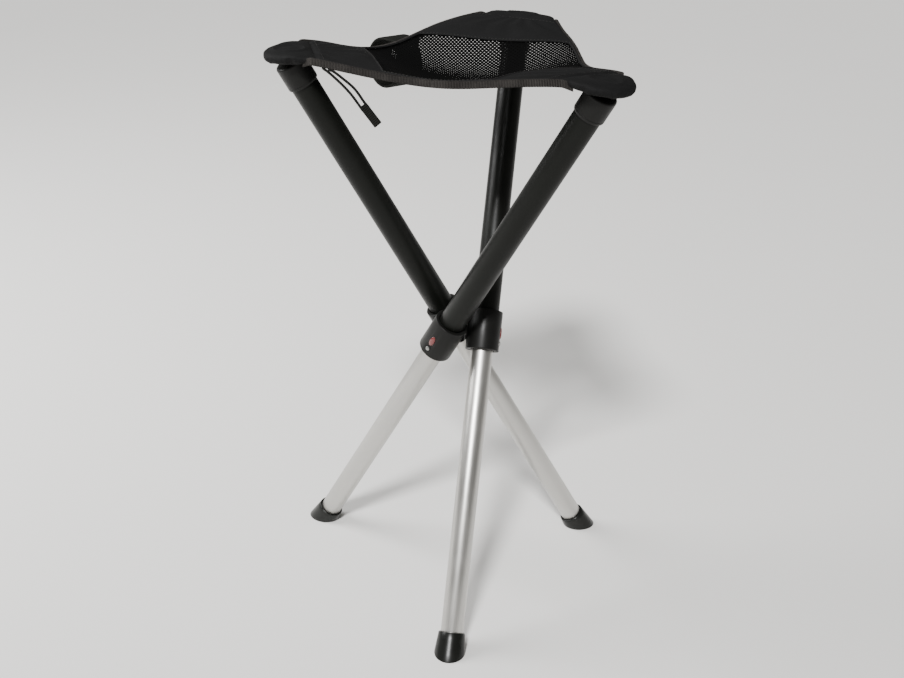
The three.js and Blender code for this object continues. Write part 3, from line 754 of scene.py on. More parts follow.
def corner_bend(order):
    """The leg of a corner, and the points at the two reaches where the cloth's bend from the hub to it would start
    and end.
    """
    place = corner_place(order)
    ends = (place @ Vector((reach * MM, 0, SEAT_TOP * MM)) for reach in (BEND_START, BEND_END))
    return LEGS[order], *(tuple(end) for end in ends)


# Geometry Nodes

def new_tree(name, sockets):
    group = bpy.data.node_groups.new(name, "GeometryNodeTree")
    group.interface.new_socket("Geometry", in_out="OUTPUT", socket_type="NodeSocketGeometry")
    for key, kind in sockets:
        group.interface.new_socket(key, in_out="INPUT", socket_type=f"NodeSocket{kind}")
    tree = Tree(group)
    tree.given = tree.node("NodeGroupInput")
    return tree


def end_tree(tree, geometry, finish):
    real = tree.node("GeometryNodeRealizeInstances", {}, {0: geometry}).out(0)
    set_finish = tree.node("GeometryNodeSetMaterial", {}, {"Geometry": real, "Material": finish})
    tree.node("NodeGroupOutput", {}, {0: set_finish.out(0)})
    return tree.tree


def grown(obj, group, **values):
    """Runs a tree on an object with its inputs set by identifier, and keeps the result as a plain mesh."""
    modifier = obj.modifiers.new("Grow", "NODES")
    modifier.node_group = group
    for item in group.interface.items_tree:
        if item.in_out == "INPUT" and item.name.replace(" ", "_") in values:
            modifier[item.identifier] = values[item.name.replace(" ", "_")]
    settle_modifiers(obj)
    return obj


def net_tree(finish):
    """A flat net: cells round a staggered grid of points, each cell opened to a share of its size."""
    sockets = [("Pitch Across", "Float"), ("Pitch Along", "Float"), ("Columns", "Int"), ("Rows", "Int")]
    tree = new_tree("Seat net", [*sockets, ("Open Share", "Float"), ("Turn", "Float")])
    across, along, columns, rows = (tree.given.out(name) for name, _ in sockets)
    measures = {
        "Size X": (columns - 1) * across, "Size Y": (rows - 1) * along,
        "Vertices X": columns, "Vertices Y": rows,
    }
    grid = tree.node("GeometryNodeMeshGrid", {}, measures).out("Mesh")
    _, up, _ = tree.parts(tree.node("GeometryNodeInputPosition").out(0))
    # Every other row moves along by half a cell
    row = (up / along + 1000).math("ROUND")
    shift = tree.vector(row.math("FLOORED_MODULO", 2.0) * across * 0.5)
    staggered = tree.node("GeometryNodeSetPosition", {}, {"Geometry": grid, "Offset": shift}).out(0)
    split = tree.node("GeometryNodeTriangulate", {"quad_method": "SHORTEST_DIAGONAL"}, {0: staggered}).out(0)
    cells = tree.node("GeometryNodeDualMesh", {}, {"Mesh": split}).out(0)
    extrusion = {"Mesh": cells, "Offset Scale": 0.0, "Individual": True}
    doubled = tree.node("GeometryNodeExtrudeMesh", {"mode": "FACES"}, extrusion)
    top = doubled.out("Top")
    inner = {"Geometry": doubled.out("Mesh"), "Selection": top, "Scale": tree.given.out("Open Share")}
    opened = tree.node("GeometryNodeScaleElements", {"domain": "FACE"}, inner).out(0)
    net = tree.node("GeometryNodeDeleteGeometry", {"domain": "FACE"}, {0: opened, 1: top}).out(0)
    turn = tree.vector(z=tree.given.out("Turn"))
    turned_net = tree.node("GeometryNodeTransform", {}, {"Geometry": net, "Rotation": turn}).out(0)
    return end_tree(tree, turned_net, finish)


def row_tree(name, finish, shape):
    """Repeats a small shape along a path: columns stand as ribs, and grains lie along it as stitches."""
    keys = ["Pitch", "Along", "Across", "High"]
    tree = new_tree(name, [("Path", "Geometry"), *((key, "Float") for key in keys)])
    pitch, *size = (tree.given.out(key) for key in keys)
    line = tree.node("GeometryNodeMeshToCurve", {}, {0: tree.given.out("Path")}).out(0)
    spacing = {"Curve": line, "Length": pitch}
    spaced = tree.node("GeometryNodeResampleCurve", {"mode": "LENGTH"}, spacing).out(0)
    if shape == "column":
        kind, measures, pivot = "GeometryNodeMeshCylinder", {"Vertices": 8, "Radius": 0.5, "Depth": 1.0}, "Z"
    else:
        kind, measures, pivot = "GeometryNodeMeshUVSphere", {"Segments": 6, "Rings": 5, "Radius": 0.5}, "AUTO"
    unit = tree.node(kind, {}, measures).out("Mesh")
    tangent = tree.node("GeometryNodeInputTangent").out(0)
    settings = {"axis": "X", "pivot_axis": pivot}
    facing = tree.node("FunctionNodeAlignRotationToVector", settings, {"Vector": tangent}).out(0)
    inputs = {"Points": spaced, "Instance": unit, "Rotation": facing, "Scale": tree.vector(*size)}
    return end_tree(tree, tree.node("GeometryNodeInstanceOnPoints", {}, inputs).out(0), finish)


def line_object(name, path, place):
    """A path of points in millimetres as a row of edges."""
    mesh = bpy.data.meshes.new(name)
    edges = [(i, i + 1) for i in range(len(path) - 1)]
    mesh.from_pydata([tuple(p) for p in np.asarray(path, float) * MM], edges, [])
    mesh.transform(place)
    return added(name, mesh)


# Sizes and colours that a user may change

def length(name, text, default):
    return FloatProperty(name=name, description=text, default=default, unit="LENGTH", min=0.0)


def colour(name, text, default):
    looks = {"subtype": "COLOR", "size": 3, "min": 0.0, "max": 1.0}
    return FloatVectorProperty(name=name, description=text, default=default, **looks)


class StoolSizes(bpy.types.PropertyGroup):
    tube_edge: length("Tube edge", "Rounding of the tube ends", 0.0003)
    collar_edge: length("Collar edge", "Rounding of the collar's rims", 0.0009)
    sole_edge: length("Sole edge", "Rounding of the foot's sole", 0.0014)
    collar_flat: length("Collar flat", "Distance of the flat below the button from the leg's axis", 0.0163)
    net_across: length("Net pitch across", "Distance between openings in a row of the net", 0.0036)
    net_along: length("Net pitch along", "Distance between rows of the net", 0.0026)
    net_open: FloatProperty(
        name="Net opening", description="Share of a cell that is open", default=0.36, min=0.1, max=0.9
    )
    net_thick: length("Net thickness", "Thickness of the knitted net", 0.0003)
    cloth_thick: length("Cloth thickness", "Thickness of the cover", 0.0016)
    hem_width: length("Hem width", "Width of the folded hem along the net", 0.0024)
    hem_rise: length("Hem rise", "How far the folded hem stands up", 0.0006)
    wrinkle: length("Wrinkles", "Depth of the folds that run from the corners", 0.0007)
    rib_pitch: length("Rib pitch", "Distance between the ribs of the tape", 0.0014)
    stitch_pitch: length("Stitch pitch", "Distance between stitches", 0.0034)
    stitch_long: length("Stitch length", "Length of a stitch", 0.0024)
    stitch_wide: length("Stitch width", "Thickness of the thread", 0.00055)
    pad_voxel: length("Pad voxel", "Grain of the pocket's mesh while it is simulated", 0.004)
    pad_cap: length("Pad swell", "How far the simulation may move a point", 0.004)
    cap_mark: length("Cap mark", "Height of the mark that the leg cap presses in the pocket", 0.0011)


class StoolColours(bpy.types.PropertyGroup):
    tube_black: colour("Black tube", "Coating of the upper tubes", (0.0042, 0.0046, 0.0037))
    tube_silver: colour("Silver tube", "Metal of the lower tubes", (0.56, 0.55, 0.525))
    plastic: colour("Plastic", "Collars, caps and hub", (0.0065, 0.0065, 0.006))
    red: colour("Button", "Release buttons", (0.12, 0.013, 0.012))
    rubber: colour("Rubber", "Feet", (0.005, 0.0054, 0.0045))
    steel: colour("Steel", "Pins, strips and screws", (0.34, 0.34, 0.33))
    cloth: colour("Cloth", "Seat cover", (0.0085, 0.0085, 0.0086))
    net: colour("Net", "Knitted net", (0.0016, 0.0016, 0.0016))
    tape_dark: colour("Tape, dark", "Shadowed yarn of the binding", (0.0018, 0.0017, 0.0016))
    strap: colour("Strap", "Carrying loop, cord and tag", (0.011, 0.0115, 0.0095))
    tape_light: colour("Tape, light", "Lit yarn of the binding", (0.085, 0.078, 0.073))


class StoolStage(bpy.types.PropertyGroup):
    floor: colour("Floor", "Floor", (0.8, 0.79, 0.77))
    floor_reach: length("Floor reach", "Half of the floor's side", 60.0)
    key: FloatProperty(name="Key light", description="Strength of the light from the front", default=4.8)
    key_angle: FloatProperty(
        name="Key angle", description="Width of the front light", default=math.radians(9), subtype="ANGLE"
    )
    fill: FloatProperty(
        name="Fill light", description="Power of the light from the left", default=40.0, unit="POWER"
    )
    fill_size: length("Fill size", "Width of the light from the left", 1.2)
    world: FloatProperty(name="World", description="Strength of the light from all round", default=0.22)
    lens: length("Lens", "Focal length of the camera", 0.0550003)


def sizes():
    return bpy.context.scene.stool_sizes


# Operators, one for each piece or group of like pieces

class STOOL_OT_tubes(bpy.types.Operator):
    """Adds the black upper tubes and the silver lower tubes"""

    bl_idname = "stool.tubes"
    bl_label = "Tubes"

    def execute(self, context):
        edge = sizes().tube_edge / MM
        for leg in LEGS:
            place = leg_place(leg)
            for part, inner, outer, low, high, slot in (
                ("upper", UPPER_INNER, UPPER_RADIUS, UPPER_LOW, UPPER_HIGH, "black_tube"),
                ("lower", LOWER_INNER, LOWER_RADIUS, LOWER_LOW, LOWER_HIGH, "silver_tube"),
            ):
                profile = filleted([(inner, low), (outer, low), (outer, high), (inner, high)], edge, 2)
                name = f"{leg}_{part}_sleeve"
                obj = turned(name, profile, place, finish_for(slot), closed=True)
                placed(obj, f"{leg}_{part}_leg", nodes=[f"{leg}_{part}_tube"])
        return {"FINISHED"}


class STOOL_OT_caps(bpy.types.Operator):
    """Adds the caps over the heads of the upper tubes"""

    bl_idname = "stool.caps"
    bl_label = "Leg caps"

    def execute(self, context):
        bore = UPPER_RADIUS + SEAT_GAP
        shoulder = [
            (CAP_RADIUS - CAP_SHOULDER * (1 - cos), CAP_TOP - CAP_SHOULDER * (1 - sin))
            for cos, sin in quarter(8)
        ]
        rim = [(CAP_RADIUS - inwards, CAP_LOW + up) for inwards, up in CAP_RIM]
        profile = [(0, CAP_INSIDE), (bore, CAP_INSIDE), (bore, CAP_LOW), *rim, *shoulder, (0, CAP_TOP)]
        for leg in LEGS:
            obj = turned(f"{leg}_cap_shell", profile, leg_place(leg), finish_for("black_plastic"))
            placed(obj, f"{leg}_upper_leg", nodes=[f"{leg}_leg_cap"])
        return {"FINISHED"}


class STOOL_OT_collars(bpy.types.Operator):
    """Adds the collars, with their bores, lock pocket and outward flat"""

    bl_idname = "stool.collars"
    bl_label = "Collars"

    def execute(self, context):
        upper, lower = UPPER_RADIUS + SEAT_GAP, LOWER_RADIUS + SLIDE_GAP
        step = UPPER_LOW - SEAT_GAP
        outside = [(COLLAR_RADIUS, -COLLAR_HALF), (COLLAR_RADIUS, COLLAR_HALF)]
        corners = [(lower, -COLLAR_HALF), *outside, (upper, COLLAR_HALF), (upper, step), (lower, step)]
        profile = filleted(corners, sizes().collar_edge / MM, 4)
        for leg in LEGS:
            obj = turned(f"{leg}_collar_shell", profile, None, finish_for("black_plastic"), closed=True)
            carve(obj, self.cutters())
            obj.data.transform(leg_place(leg))
            placed(obj, f"{leg}_upper_leg", nodes=[f"{leg}_collar"])
        return {"FINISHED"}

    def cutters(self):
        """The holes as solids in the leg frame: button, pin, screw, strip and the outer flat."""
        across, inwards = Matrix.Rotation(math.pi / 2, 4, "Y"), Matrix.Rotation(-math.pi / 2, 4, "Y")
        past = COLLAR_RADIUS + 5
        stretch = Matrix.Diagonal((BUTTON_HALF_LENGTH + SEAT_GAP, BUTTON_HALF_WIDTH + SEAT_GAP, 1, 1))
        head = UPPER_RADIUS + SLIDE_GAP + SCREW_HEAD_DEPTH + SEAT_GAP
        low, high = STRIP_LOW - SEAT_GAP, STRIP_HIGH + SEAT_GAP
        inner, outer = STRIP_INNER - LOCK_TRAVEL - 5, STRIP_OUTER + SEAT_GAP
        strip = [(inner, low), (outer, low), (outer, high), (inner, high)]
        flat, end = sizes().collar_flat / MM, -COLLAR_HALF - 5
        side = [(flat, end), (past, end), (past, -4), (flat + 1.2, -4), (flat, -6.5)]
        return [
            plug("cut_button", 1.0, STRIP_INNER, past, raised(BUTTON_CENTRE) @ across @ stretch, 48),
            plug("cut_pin", PIN_RADIUS + SEAT_GAP, LOWER_RADIUS, past, raised(PIN_CENTRE) @ across, 32),
            plug("cut_head", SCREW_HEAD_RADIUS + SEAT_GAP, UPPER_INNER, head, inwards, 32),
            plug("cut_shank", SCREW_RADIUS + SEAT_GAP, UPPER_INNER, past, inwards, 32),
            self.block("cut_strip", strip, STRIP_HALF_WIDTH + SEAT_GAP),
            self.block("cut_flat", side, COLLAR_RADIUS),
        ]

    def block(self, name, side, half):
        points = [(x, -half, z) for x, z in side] + [(x, half, z) for x, z in side]
        count = len(side)
        faces = [tuple(range(count)), tuple(reversed(range(count, 2 * count)))]
        faces += [(i, i + count, (i + 1) % count + count, (i + 1) % count) for i in range(count)]
        obj = make(name, points, faces)
        tidy_normals(obj)
        return obj


class STOOL_OT_locks(bpy.types.Operator):
    """Adds the red release buttons and the steel locking pins"""

    bl_idname = "stool.locks"
    bl_label = "Buttons and pins"

    def execute(self, context):
        across = Matrix.Rotation(math.pi / 2, 4, "Y")
        stretch = Matrix.Diagonal((BUTTON_HALF_LENGTH, BUTTON_HALF_WIDTH, 1, 1))
        button = self.dome(1, STRIP_OUTER + SEAT_GAP, BUTTON_STAND)
        pin = self.dome(PIN_RADIUS, PIN_INNER, PIN_STAND)
        for leg in LEGS:
            for name, node, slot, profile, centre, shape, sides in (
                ("button_dome", "release_button", "red_plastic", button, BUTTON_CENTRE, stretch, 64),
                ("pin_dome", "lock_pin", "steel", pin, PIN_CENTRE, Matrix.Identity(4), 48),
            ):
                place = leg_place(leg) @ raised(centre) @ across @ shape
                obj = turned(f"{leg}_{name}", profile, place, finish_for(slot), sides)
                placed(obj, f"{leg}_lock", nodes=[f"{leg}_{node}"])
        return {"FINISHED"}

    def dome(self, radius, inner, stand):
        """The profile of a button or pin, from its flat inner end to its domed outer one."""
        tip = COLLAR_RADIUS + stand
        top = [(max(0.0, round(radius * cos, 6)), tip - stand * (1 - sin)) for cos, sin in quarter(8, 1)]
        return [(0, inner), (radius, inner), (radius, tip - stand), *top]


class STOOL_OT_feet(bpy.types.Operator):
    """Adds the rubber feet, with their level soles"""

    bl_idname = "stool.feet"
    bl_label = "Feet"

    def execute(self, context):
        for leg in LEGS:
            place = leg_place(leg)
            rows = self.rings(place)
            points = [point for row in rows for point in row]
            faces = ring_faces(len(rows), len(rows[0]))
            obj = make(f"{leg}_foot_shoe", points, faces, place, finish_for("rubber"))
            placed(obj, f"{leg}_lower_leg", nodes=[f"{leg}_foot"])
        return {"FINISHED"}

    def rings(self, place):
        """Rings of the shoe in the leg frame, from the level sole up and over the rim into the socket."""
        height_of = place.translation.z / MM
        along, side = place.col[2].z, place.col[1].z
        rim_depth = FOOT_FLANK - FOOT_REACH
        flare = (FOOT_SOLE_RADIUS - FOOT_RIM_RADIUS) / FOOT_FLANK
        edge, lip, chamfer = sizes().sole_edge / MM, FOOT_LIP, 0.3
        turns = [2 * math.pi * i / 96 for i in range(96)]

        def level(height, inset):
            row = []
            for angle in turns:
                base = FOOT_RIM_RADIUS + flare * rim_depth - inset
                tilt = side * math.sin(angle)
                depth = (height - height_of - base * tilt) / (along - flare * tilt)
                reach = base - flare * depth
                row.append((reach * math.cos(angle), reach * math.sin(angle), depth))
            return row

        def square(radius, depth):
            return [(radius * math.cos(angle), radius * math.sin(angle), depth) for angle in turns]

        rows = [level(edge * (1 - cos), edge * (1 - sin)) for cos, sin in quarter(4)]
        low, high = rows[-1], square(FOOT_RIM_RADIUS + flare * lip, rim_depth - lip)
        for share in (0.25, 0.5, 0.75):
            rows.append([tuple(a + (b - a) * share for a, b in zip(p, q)) for p, q in zip(low, high)])
        rim = [
            square(FOOT_RIM_RADIUS - lip * (1 - cos), rim_depth - lip * (1 - sin))
            for cos, sin in quarter(4, 1)
        ]
        socket = LOWER_RADIUS + SEAT_GAP
        mouth = [square(socket + chamfer, rim_depth), square(socket, rim_depth - chamfer)]
        return [*rows, high, *rim, *mouth, square(socket, LOWER_LOW - SEAT_GAP)]


class STOOL_OT_cover(bpy.types.Operator):
    """Adds the solid cloth between the net, the binding and the pockets, one piece for each corner"""

    bl_idname = "stool.cover"
    bl_label = "Cover"

    def execute(self, context):
        for order, leg in enumerate(LEGS):
            obj, flat, area = self.sheet(order, leg)
            nodes = [f"{leg}_corner_panel", f"{EDGES[order]}_edge_band", f"{EDGES[order - 1]}_edge_band"]
            placed(obj, bend=corner_bend(order), nodes=nodes)
        return {"FINISHED"}

    def sheet(self, order, leg):
        """One corner's cover, with the width and length it is cut from and its flat area."""
        size = sizes()
        inset = BINDING_WIDTH + CLOTH_GAP
        rim = rim_path(inset, 1.0)
        bearings = np.arctan2(rim[:, 1], rim[:, 0])
        reaches = np.hypot(rim[:, 0], rim[:, 1])
        line = POCKET_LINE + TUCK
        kink = math.atan2(edge_point(edge_crossing(line, inset), inset)[1], line)
        spans = ((-math.pi / 3, -kink, 44), (-kink, kink, 35), (kink, math.pi / 3, 44))
        limits = np.unique(np.concatenate([np.linspace(*span) for span in spans]))
        ridge = np.array(HEM_STEPS) * (size.hem_width / MM / 6)
        rows = []
        for bearing in limits:
            cos, sin = math.cos(bearing), math.sin(bearing)
            outer = min(np.interp(bearing, bearings, reaches), line / cos if abs(bearing) < 0.6 else 1e9)
            inner = net_reach(bearing, leg)
            far = inner + ridge[-1] + (outer - inner - ridge[-1]) * np.linspace(0, 1, 30)[1:]
            rows.append([(r * cos, r * sin, r - inner) for r in [*(inner + ridge), *far]])
        grid = np.array(rows)
        reach = np.hypot(grid[..., 0], grid[..., 1])
        slices = np.diff(limits) / 2 * (reach[:-1, -1] * reach[1:, -1] - reach[:-1, 0] * reach[1:, 0])
        x, y, from_net = grid.reshape(-1, 3).T
        tucked = TUCK_DEPTH * smooth(x, POCKET_LINE - 2, POCKET_LINE + 2)
        z = seat_height(x, y) + self.relief(x, y, from_net, order) - tucked
        points = np.stack(settle(x, y, z, order), axis=1)
        count, columns = reach.shape
        starts = [i * columns + j for i in range(count - 1) for j in range(columns - 1)]
        faces = [(a, a + 1, a + columns + 1, a + columns) for a in starts]
        obj = make(f"{leg}_seat_cover", points, faces, corner_place(order), finish_for("cloth"), sharp=60)
        solid = obj.modifiers.new("Wall", "SOLIDIFY")
        solid.thickness, solid.offset = size.cloth_thick, -1
        settle_modifiers(obj)
        wide = 2 * (CHORD_REACH + EDGE_MID) * SIN60 * MM
        return obj, (wide, (line - NET_EDGE * COS60) * MM), float(slices.sum()) * MM * MM

    def relief(self, x, y, from_net, order):
        """Folded hem along the net and shallow folds that run out from the corner, in millimetres."""
        size = sizes()
        width, rise = size.hem_width / MM, size.hem_rise / MM
        hem = rise * smooth(from_net, 0, 0.7) * (1 - smooth(from_net, width - 0.7, width))
        away = np.hypot(x - CORNER_REACH, y)
        bearing = np.arctan2(y, CORNER_REACH - x)
        folds = np.sin(bearing * 17 + order * 1.7 + np.sin(away / 9.0 + order) * 0.6)
        cross = np.sin(x / 7.5 + np.sin(y / 11.0 + order) * 1.4)
        strength = smooth(away, 8, 22) * (1 - smooth(away, 40, 95)) * smooth(from_net, width, width + 8)
        return hem + size.wrinkle / MM * strength * (0.6 * folds + 0.4 * cross)


class STOOL_OT_pockets(bpy.types.Operator):
    """Adds the padded pockets over the leg caps, puffed out by a cloth simulation"""

    bl_idname = "stool.pockets"
    bl_label = "Corner pockets"

    def execute(self, context):
        pad = self.shape()
        self.puff(pad)
        self.press(pad)
        low, high = CAP_LOW - 20, CAP_TOP + CLOTH_GAP
        for order, leg in enumerate(LEGS):
            mesh = pad.data.copy()
            mesh.name = f"{leg}_pocket_pad"
            set_points(mesh, np.stack(settle(*points_of(mesh).T, order), axis=1))
            mesh.transform(corner_place(order))
            obj = added(mesh.name, mesh)
            carve(obj, [plug("cut_cap", CAP_RADIUS + CLOTH_GAP, low, high, leg_place(leg), 64)])
            placed(obj, f"{leg}_upper_leg", nodes=[f"{leg}_corner_pocket"])
        bpy.data.objects.remove(pad)
        return {"FINISHED"}

    def shape(self):
        """The unstuffed pocket in the first corner's frame, a little smaller than the finished one."""
        rim = rim_path(0.0, 2.0)
        inset = 2.4 - 3.2 * smooth(rim[:, 0], 148, 164)
        rim = rim - path_normals(rim) * inset[:, None]
        line = POCKET_LINE + 0.4
        arc = rim[rim[:, 0] > line]
        closing = [(line, arc[-1][1] + (arc[0][1] - arc[-1][1]) * step / 12) for step in range(1, 12)]
        outline = np.vstack([arc, closing])
        flat = np.concatenate([np.zeros(len(arc)), np.ones(len(closing))])
        centre = np.array([CORNER_REACH - LOBE_RADIUS / 6, 0.0])
        # Levels as a turn round the flank in degrees, and a share of the way in to the centre
        under = [(-90, 0.75), (-90, 0.5), (-90, 0.25)]
        flank = [(level, 0.0) for level in range(-90, 105, 15)]
        levels = [*under, *flank, *((-level, share) for level, share in reversed(under))]
        points = []
        for level, share in levels:
            rise = math.sin(math.radians(level))
            for (x, y), straight in zip(outline, flat):
                reach = math.hypot(x - centre[0], y - centre[1])
                half = pocket_depth(x) / 2 - PAD_SHRINK
                roundness = 0.35 if straight else 0.3 + 0.7 * float(smooth(x, 152, 184))
                inward = half * (1 - math.cos(math.radians(level))) * roundness
                scale = (1 - share) * (1 - inward / reach)
                px, py = centre + (np.array([x, y]) - centre) * scale
                depth = pocket_depth(px) / 2
                points.append((px, py, float(seat_height(px, py)) - depth + (depth - PAD_SHRINK) * rise))
        faces = ring_faces(len(levels), len(outline))
        obj = make("pocket_blank", points, faces, None, finish_for("cloth"))
        tidy_normals(obj)
        return obj

    def puff(self, obj):
        """Remeshes the blank evenly and inflates it as closed cloth, with a cap on how far it swells."""
        size = sizes()
        remesh = obj.modifiers.new("Even", "REMESH")
        remesh.mode, remesh.voxel_size = "VOXEL", size.pad_voxel
        settle_modifiers(obj)
        rest = np.array([v.co for v in obj.data.vertices])
        cloth = obj.modifiers.new("Stuffing", "CLOTH")
        settings = cloth.settings
        settings.use_pressure, settings.uniform_pressure_force = True, PAD_PRESSURE
        settings.effector_weights.gravity = 0.0
        settings.quality, settings.tension_stiffness, settings.bending_stiffness = 6, 12, 0.6
        cloth.point_cache.frame_start, cloth.point_cache.frame_end = 1, PAD_FRAMES
        scene = bpy.context.scene
        for number in range(1, PAD_FRAMES + 1):
            scene.frame_set(number)
        evaluated = obj.evaluated_get(bpy.context.evaluated_depsgraph_get())
        moved = np.array([v.co for v in evaluated.data.vertices]) - rest
        obj.modifiers.clear()
        scene.frame_set(1)
        share = np.minimum(1, size.pad_cap / np.maximum(np.linalg.norm(moved, axis=1), 1e-9))
        obj.data.vertices.foreach_set("co", (rest + moved * share[:, None]).astype(np.float32).ravel())
        finer = obj.modifiers.new("Finer", "SUBSURF")
        finer.levels = finer.render_levels = 1
        settle_modifiers(obj)

    def press(self, obj):
        """Flattens the swell and presses the mark of the leg cap into the top."""
        x, y, z = points_of(obj.data).T
        top, depth = seat_height(x, y), pocket_depth(x)
        lean = leg_place("back").col[2].to_3d()
        middle = math.hypot(HUB_ARM, math.hypot(lean.x, lean.y) * CAP_TOP)
        away = np.hypot(x - middle, y)
        ring = np.exp(-(((away - CAP_RADIUS * MARK_RING) / MARK_RING_WIDE) ** 2))
        dip = np.exp(-(((away - CAP_RADIUS * MARK_DIP) / MARK_DIP_WIDE) ** 2))
        upper = smooth(z - (top - depth / 2), 0, 3)
        limit, low = top + PAD_ABOVE, top - depth - PAD_BELOW
        z = np.where(z > limit, limit + (z - limit) * PAD_KEPT, z)
        z = z + sizes().cap_mark / MM * (ring - 0.5 * dip) * upper
        z = np.where(z < low, low + (z - low) * PAD_KEPT, z)
        set_points(obj.data, np.stack([x, y, z], axis=1))
        obj.data.shade_smooth()


class STOOL_OT_binding(bpy.types.Operator):
    """Adds the ribbed tape round the seat's rim"""

    bl_idname = "stool.binding"
    bl_label = "Binding"

    def execute(self, context):
        ribs = row_tree("Tape ribs", finish_for("tape"), "column")
        profile = flat_profile(BINDING_WIDTH / 2 + 0.1, BINDING_HEIGHT / 2, 1.1, 4)
        plan = rim_path(BINDING_WIDTH / 2, 2.0)
        outwards = path_normals(plan)
        bare = plan[:, 0] < TAPE_REACH
        middle = len(plan) // 2
        parts = slice(0, int(np.argmin(bare[:middle]))), slice(middle + int(np.argmax(bare[middle:])), None)
        for order, leg in enumerate(LEGS):
            runs = []
            for number, part in enumerate(parts):
                runs += self.run(f"{leg}_{number}", plan[part], outwards[part], profile, ribs, order)
            tape = joined(f"{leg}_rim_binding", runs)
            nodes = [f"{EDGES[order]}_binding", f"{EDGES[order - 1]}_binding"]
            placed(tape, bend=corner_bend(order), nodes=nodes)
        return {"FINISHED"}

    def run(self, name, plan, outwards, profile, ribs, order):
        """One run of tape along an edge, with its end drawn in under the pocket, and the ribs over it."""
        pitch = sizes().rib_pitch
        end = smooth(plan[:, 0], TAPE_REACH - 10, TAPE_REACH)
        height = seat_height(*plan.T) + SEAT_GAP - BINDING_HEIGHT / 2 - TAPE_END_DROP * end
        inner = plan - outwards * TAPE_END_INSET * end[:, None]
        path = np.stack(settle(*inner.T, height, order), axis=1)
        normals = np.column_stack([outwards, np.zeros(len(plan))])
        place = corner_place(order)
        tape = swept(f"{name}_tape", path, normals, profile, finish_for("tape"), place)
        row = line_object(f"{name}_ribs", path, place)
        across, high = BINDING_WIDTH + 0.5, BINDING_HEIGHT + 0.1
        grown(row, ribs, Pitch=pitch, Along=pitch * 0.6, Across=across * MM, High=high * MM)
        shaded(row.data, 60)
        return [tape, row]


class STOOL_OT_net(bpy.types.Operator):
    """Adds the knitted net over the middle of the seat, one piece for each corner"""

    bl_idname = "stool.net"
    bl_label = "Net"

    def execute(self, context):
        size = sizes()
        group = net_tree(finish_for("netting"))
        cells = {
            "Pitch_Across": size.net_across, "Pitch_Along": size.net_along, "Open_Share": size.net_open,
            "Columns": int(NET_SHEET / size.net_across) | 1, "Rows": int(NET_SHEET / size.net_along) | 1,
        }
        for order, leg in enumerate(LEGS):
            place = corner_place(order)
            facing = math.atan2(place.col[0].y, place.col[0].x)
            name = f"{leg}_seat_net"
            obj = added(name, bpy.data.meshes.new(name))
            grown(obj, group, Turn=NET_TURN - facing, **cells)
            area = self.trim(obj, leg)
            solid = obj.modifiers.new("Wall", "SOLIDIFY")
            solid.thickness, solid.offset = size.net_thick, 0
            self.drape(obj, order)
            settle_modifiers(obj)
            obj.data.transform(place)
            shaded(obj.data, 50)
            placed(obj, bend=corner_bend(order), nodes=["seat_net"])
        return {"FINISHED"}

    def trim(self, obj, leg):
        """Keeps the cells of one corner's third, a little past the cover's hem, and gives their area."""
        shape = bmesh.new()
        shape.from_mesh(obj.data)
        # Each opening lies within a ring of faces, so faces are kept by the openings that they border
        seen, gone = set(), set()
        for edge in shape.edges:
            if edge in seen or len(edge.link_faces) != 1:
                continue
            loop, stack = [], [edge]
            while stack:
                item = stack.pop()
                if item in seen:
                    continue
                seen.add(item)
                loop.append(item)
                for vert in item.verts:
                    stack += [e for e in vert.link_edges if len(e.link_faces) == 1 and e not in seen]
            middle = sum(((e.verts[0].co + e.verts[1].co) / 2 for e in loop), Vector()) / len(loop) / MM
            bearing = math.atan2(middle.y, middle.x)
            within = abs(bearing) <= math.pi / 3 and middle.length <= net_reach(bearing, leg) + NET_PAST_HEM
            if not within or len(loop) > OPENING_EDGES_MOST:
                gone.update(face for item in loop for face in item.link_faces)
        bmesh.ops.delete(shape, geom=list(gone), context="FACES")
        cells = len(shape.faces) / 6
        shape.to_mesh(obj.data)
        shape.free()
        return cells * sizes().net_across * sizes().net_along

    def drape(self, obj, order):
        """Lays the flat net just under the cover."""
        x, y, _ = points_of(obj.data).T
        z = seat_height(x, y) - sizes().cloth_thick / MM - 0.3
        set_points(obj.data, np.stack(settle(x, y, z, order), axis=1))


class STOOL_OT_stitches(bpy.types.Operator):
    """Adds the stitch rows along the net's hem and the pocket seams"""

    bl_idname = "stool.stitches"
    bl_label = "Stitches"

    def execute(self, context):
        size = sizes()
        group = row_tree("Stitch row", finish_for("thread"), "grain")
        wide = size.stitch_wide
        stitch = {"Pitch": size.stitch_pitch, "Along": size.stitch_long, "Across": wide, "High": wide}
        inset, line = BINDING_WIDTH + SEAM_INSET, POCKET_LINE - SEAM_INSET
        half = edge_point(edge_crossing(line, inset), inset)[1]
        seam = np.array([(line, half * share) for share in np.linspace(-1, 1, 60)])
        for order, leg in enumerate(LEGS):
            hem = []
            for bearing in np.linspace(-math.pi / 3, math.pi / 3, 161):
                far = net_reach(bearing, leg) + size.hem_width / MM / 2
                hem.append((far * math.cos(bearing), far * math.sin(bearing)))
            made = []
            for number, (plan, rise) in enumerate(((np.array(hem), size.hem_rise / MM), (seam, 0.0))):
                x, y = plan.T
                z = seat_height(x, y) + rise + wide / MM * 0.15
                path = np.stack(settle(x, y, z, order), axis=1)
                row = line_object(f"{leg}_row_{number}", path, corner_place(order))
                made.append(grown(row, group, **stitch))
            obj = joined(f"{leg}_stitching", made)
            obj.data.shade_smooth()
            placed(obj, bend=corner_bend(order))
        return {"FINISHED"}


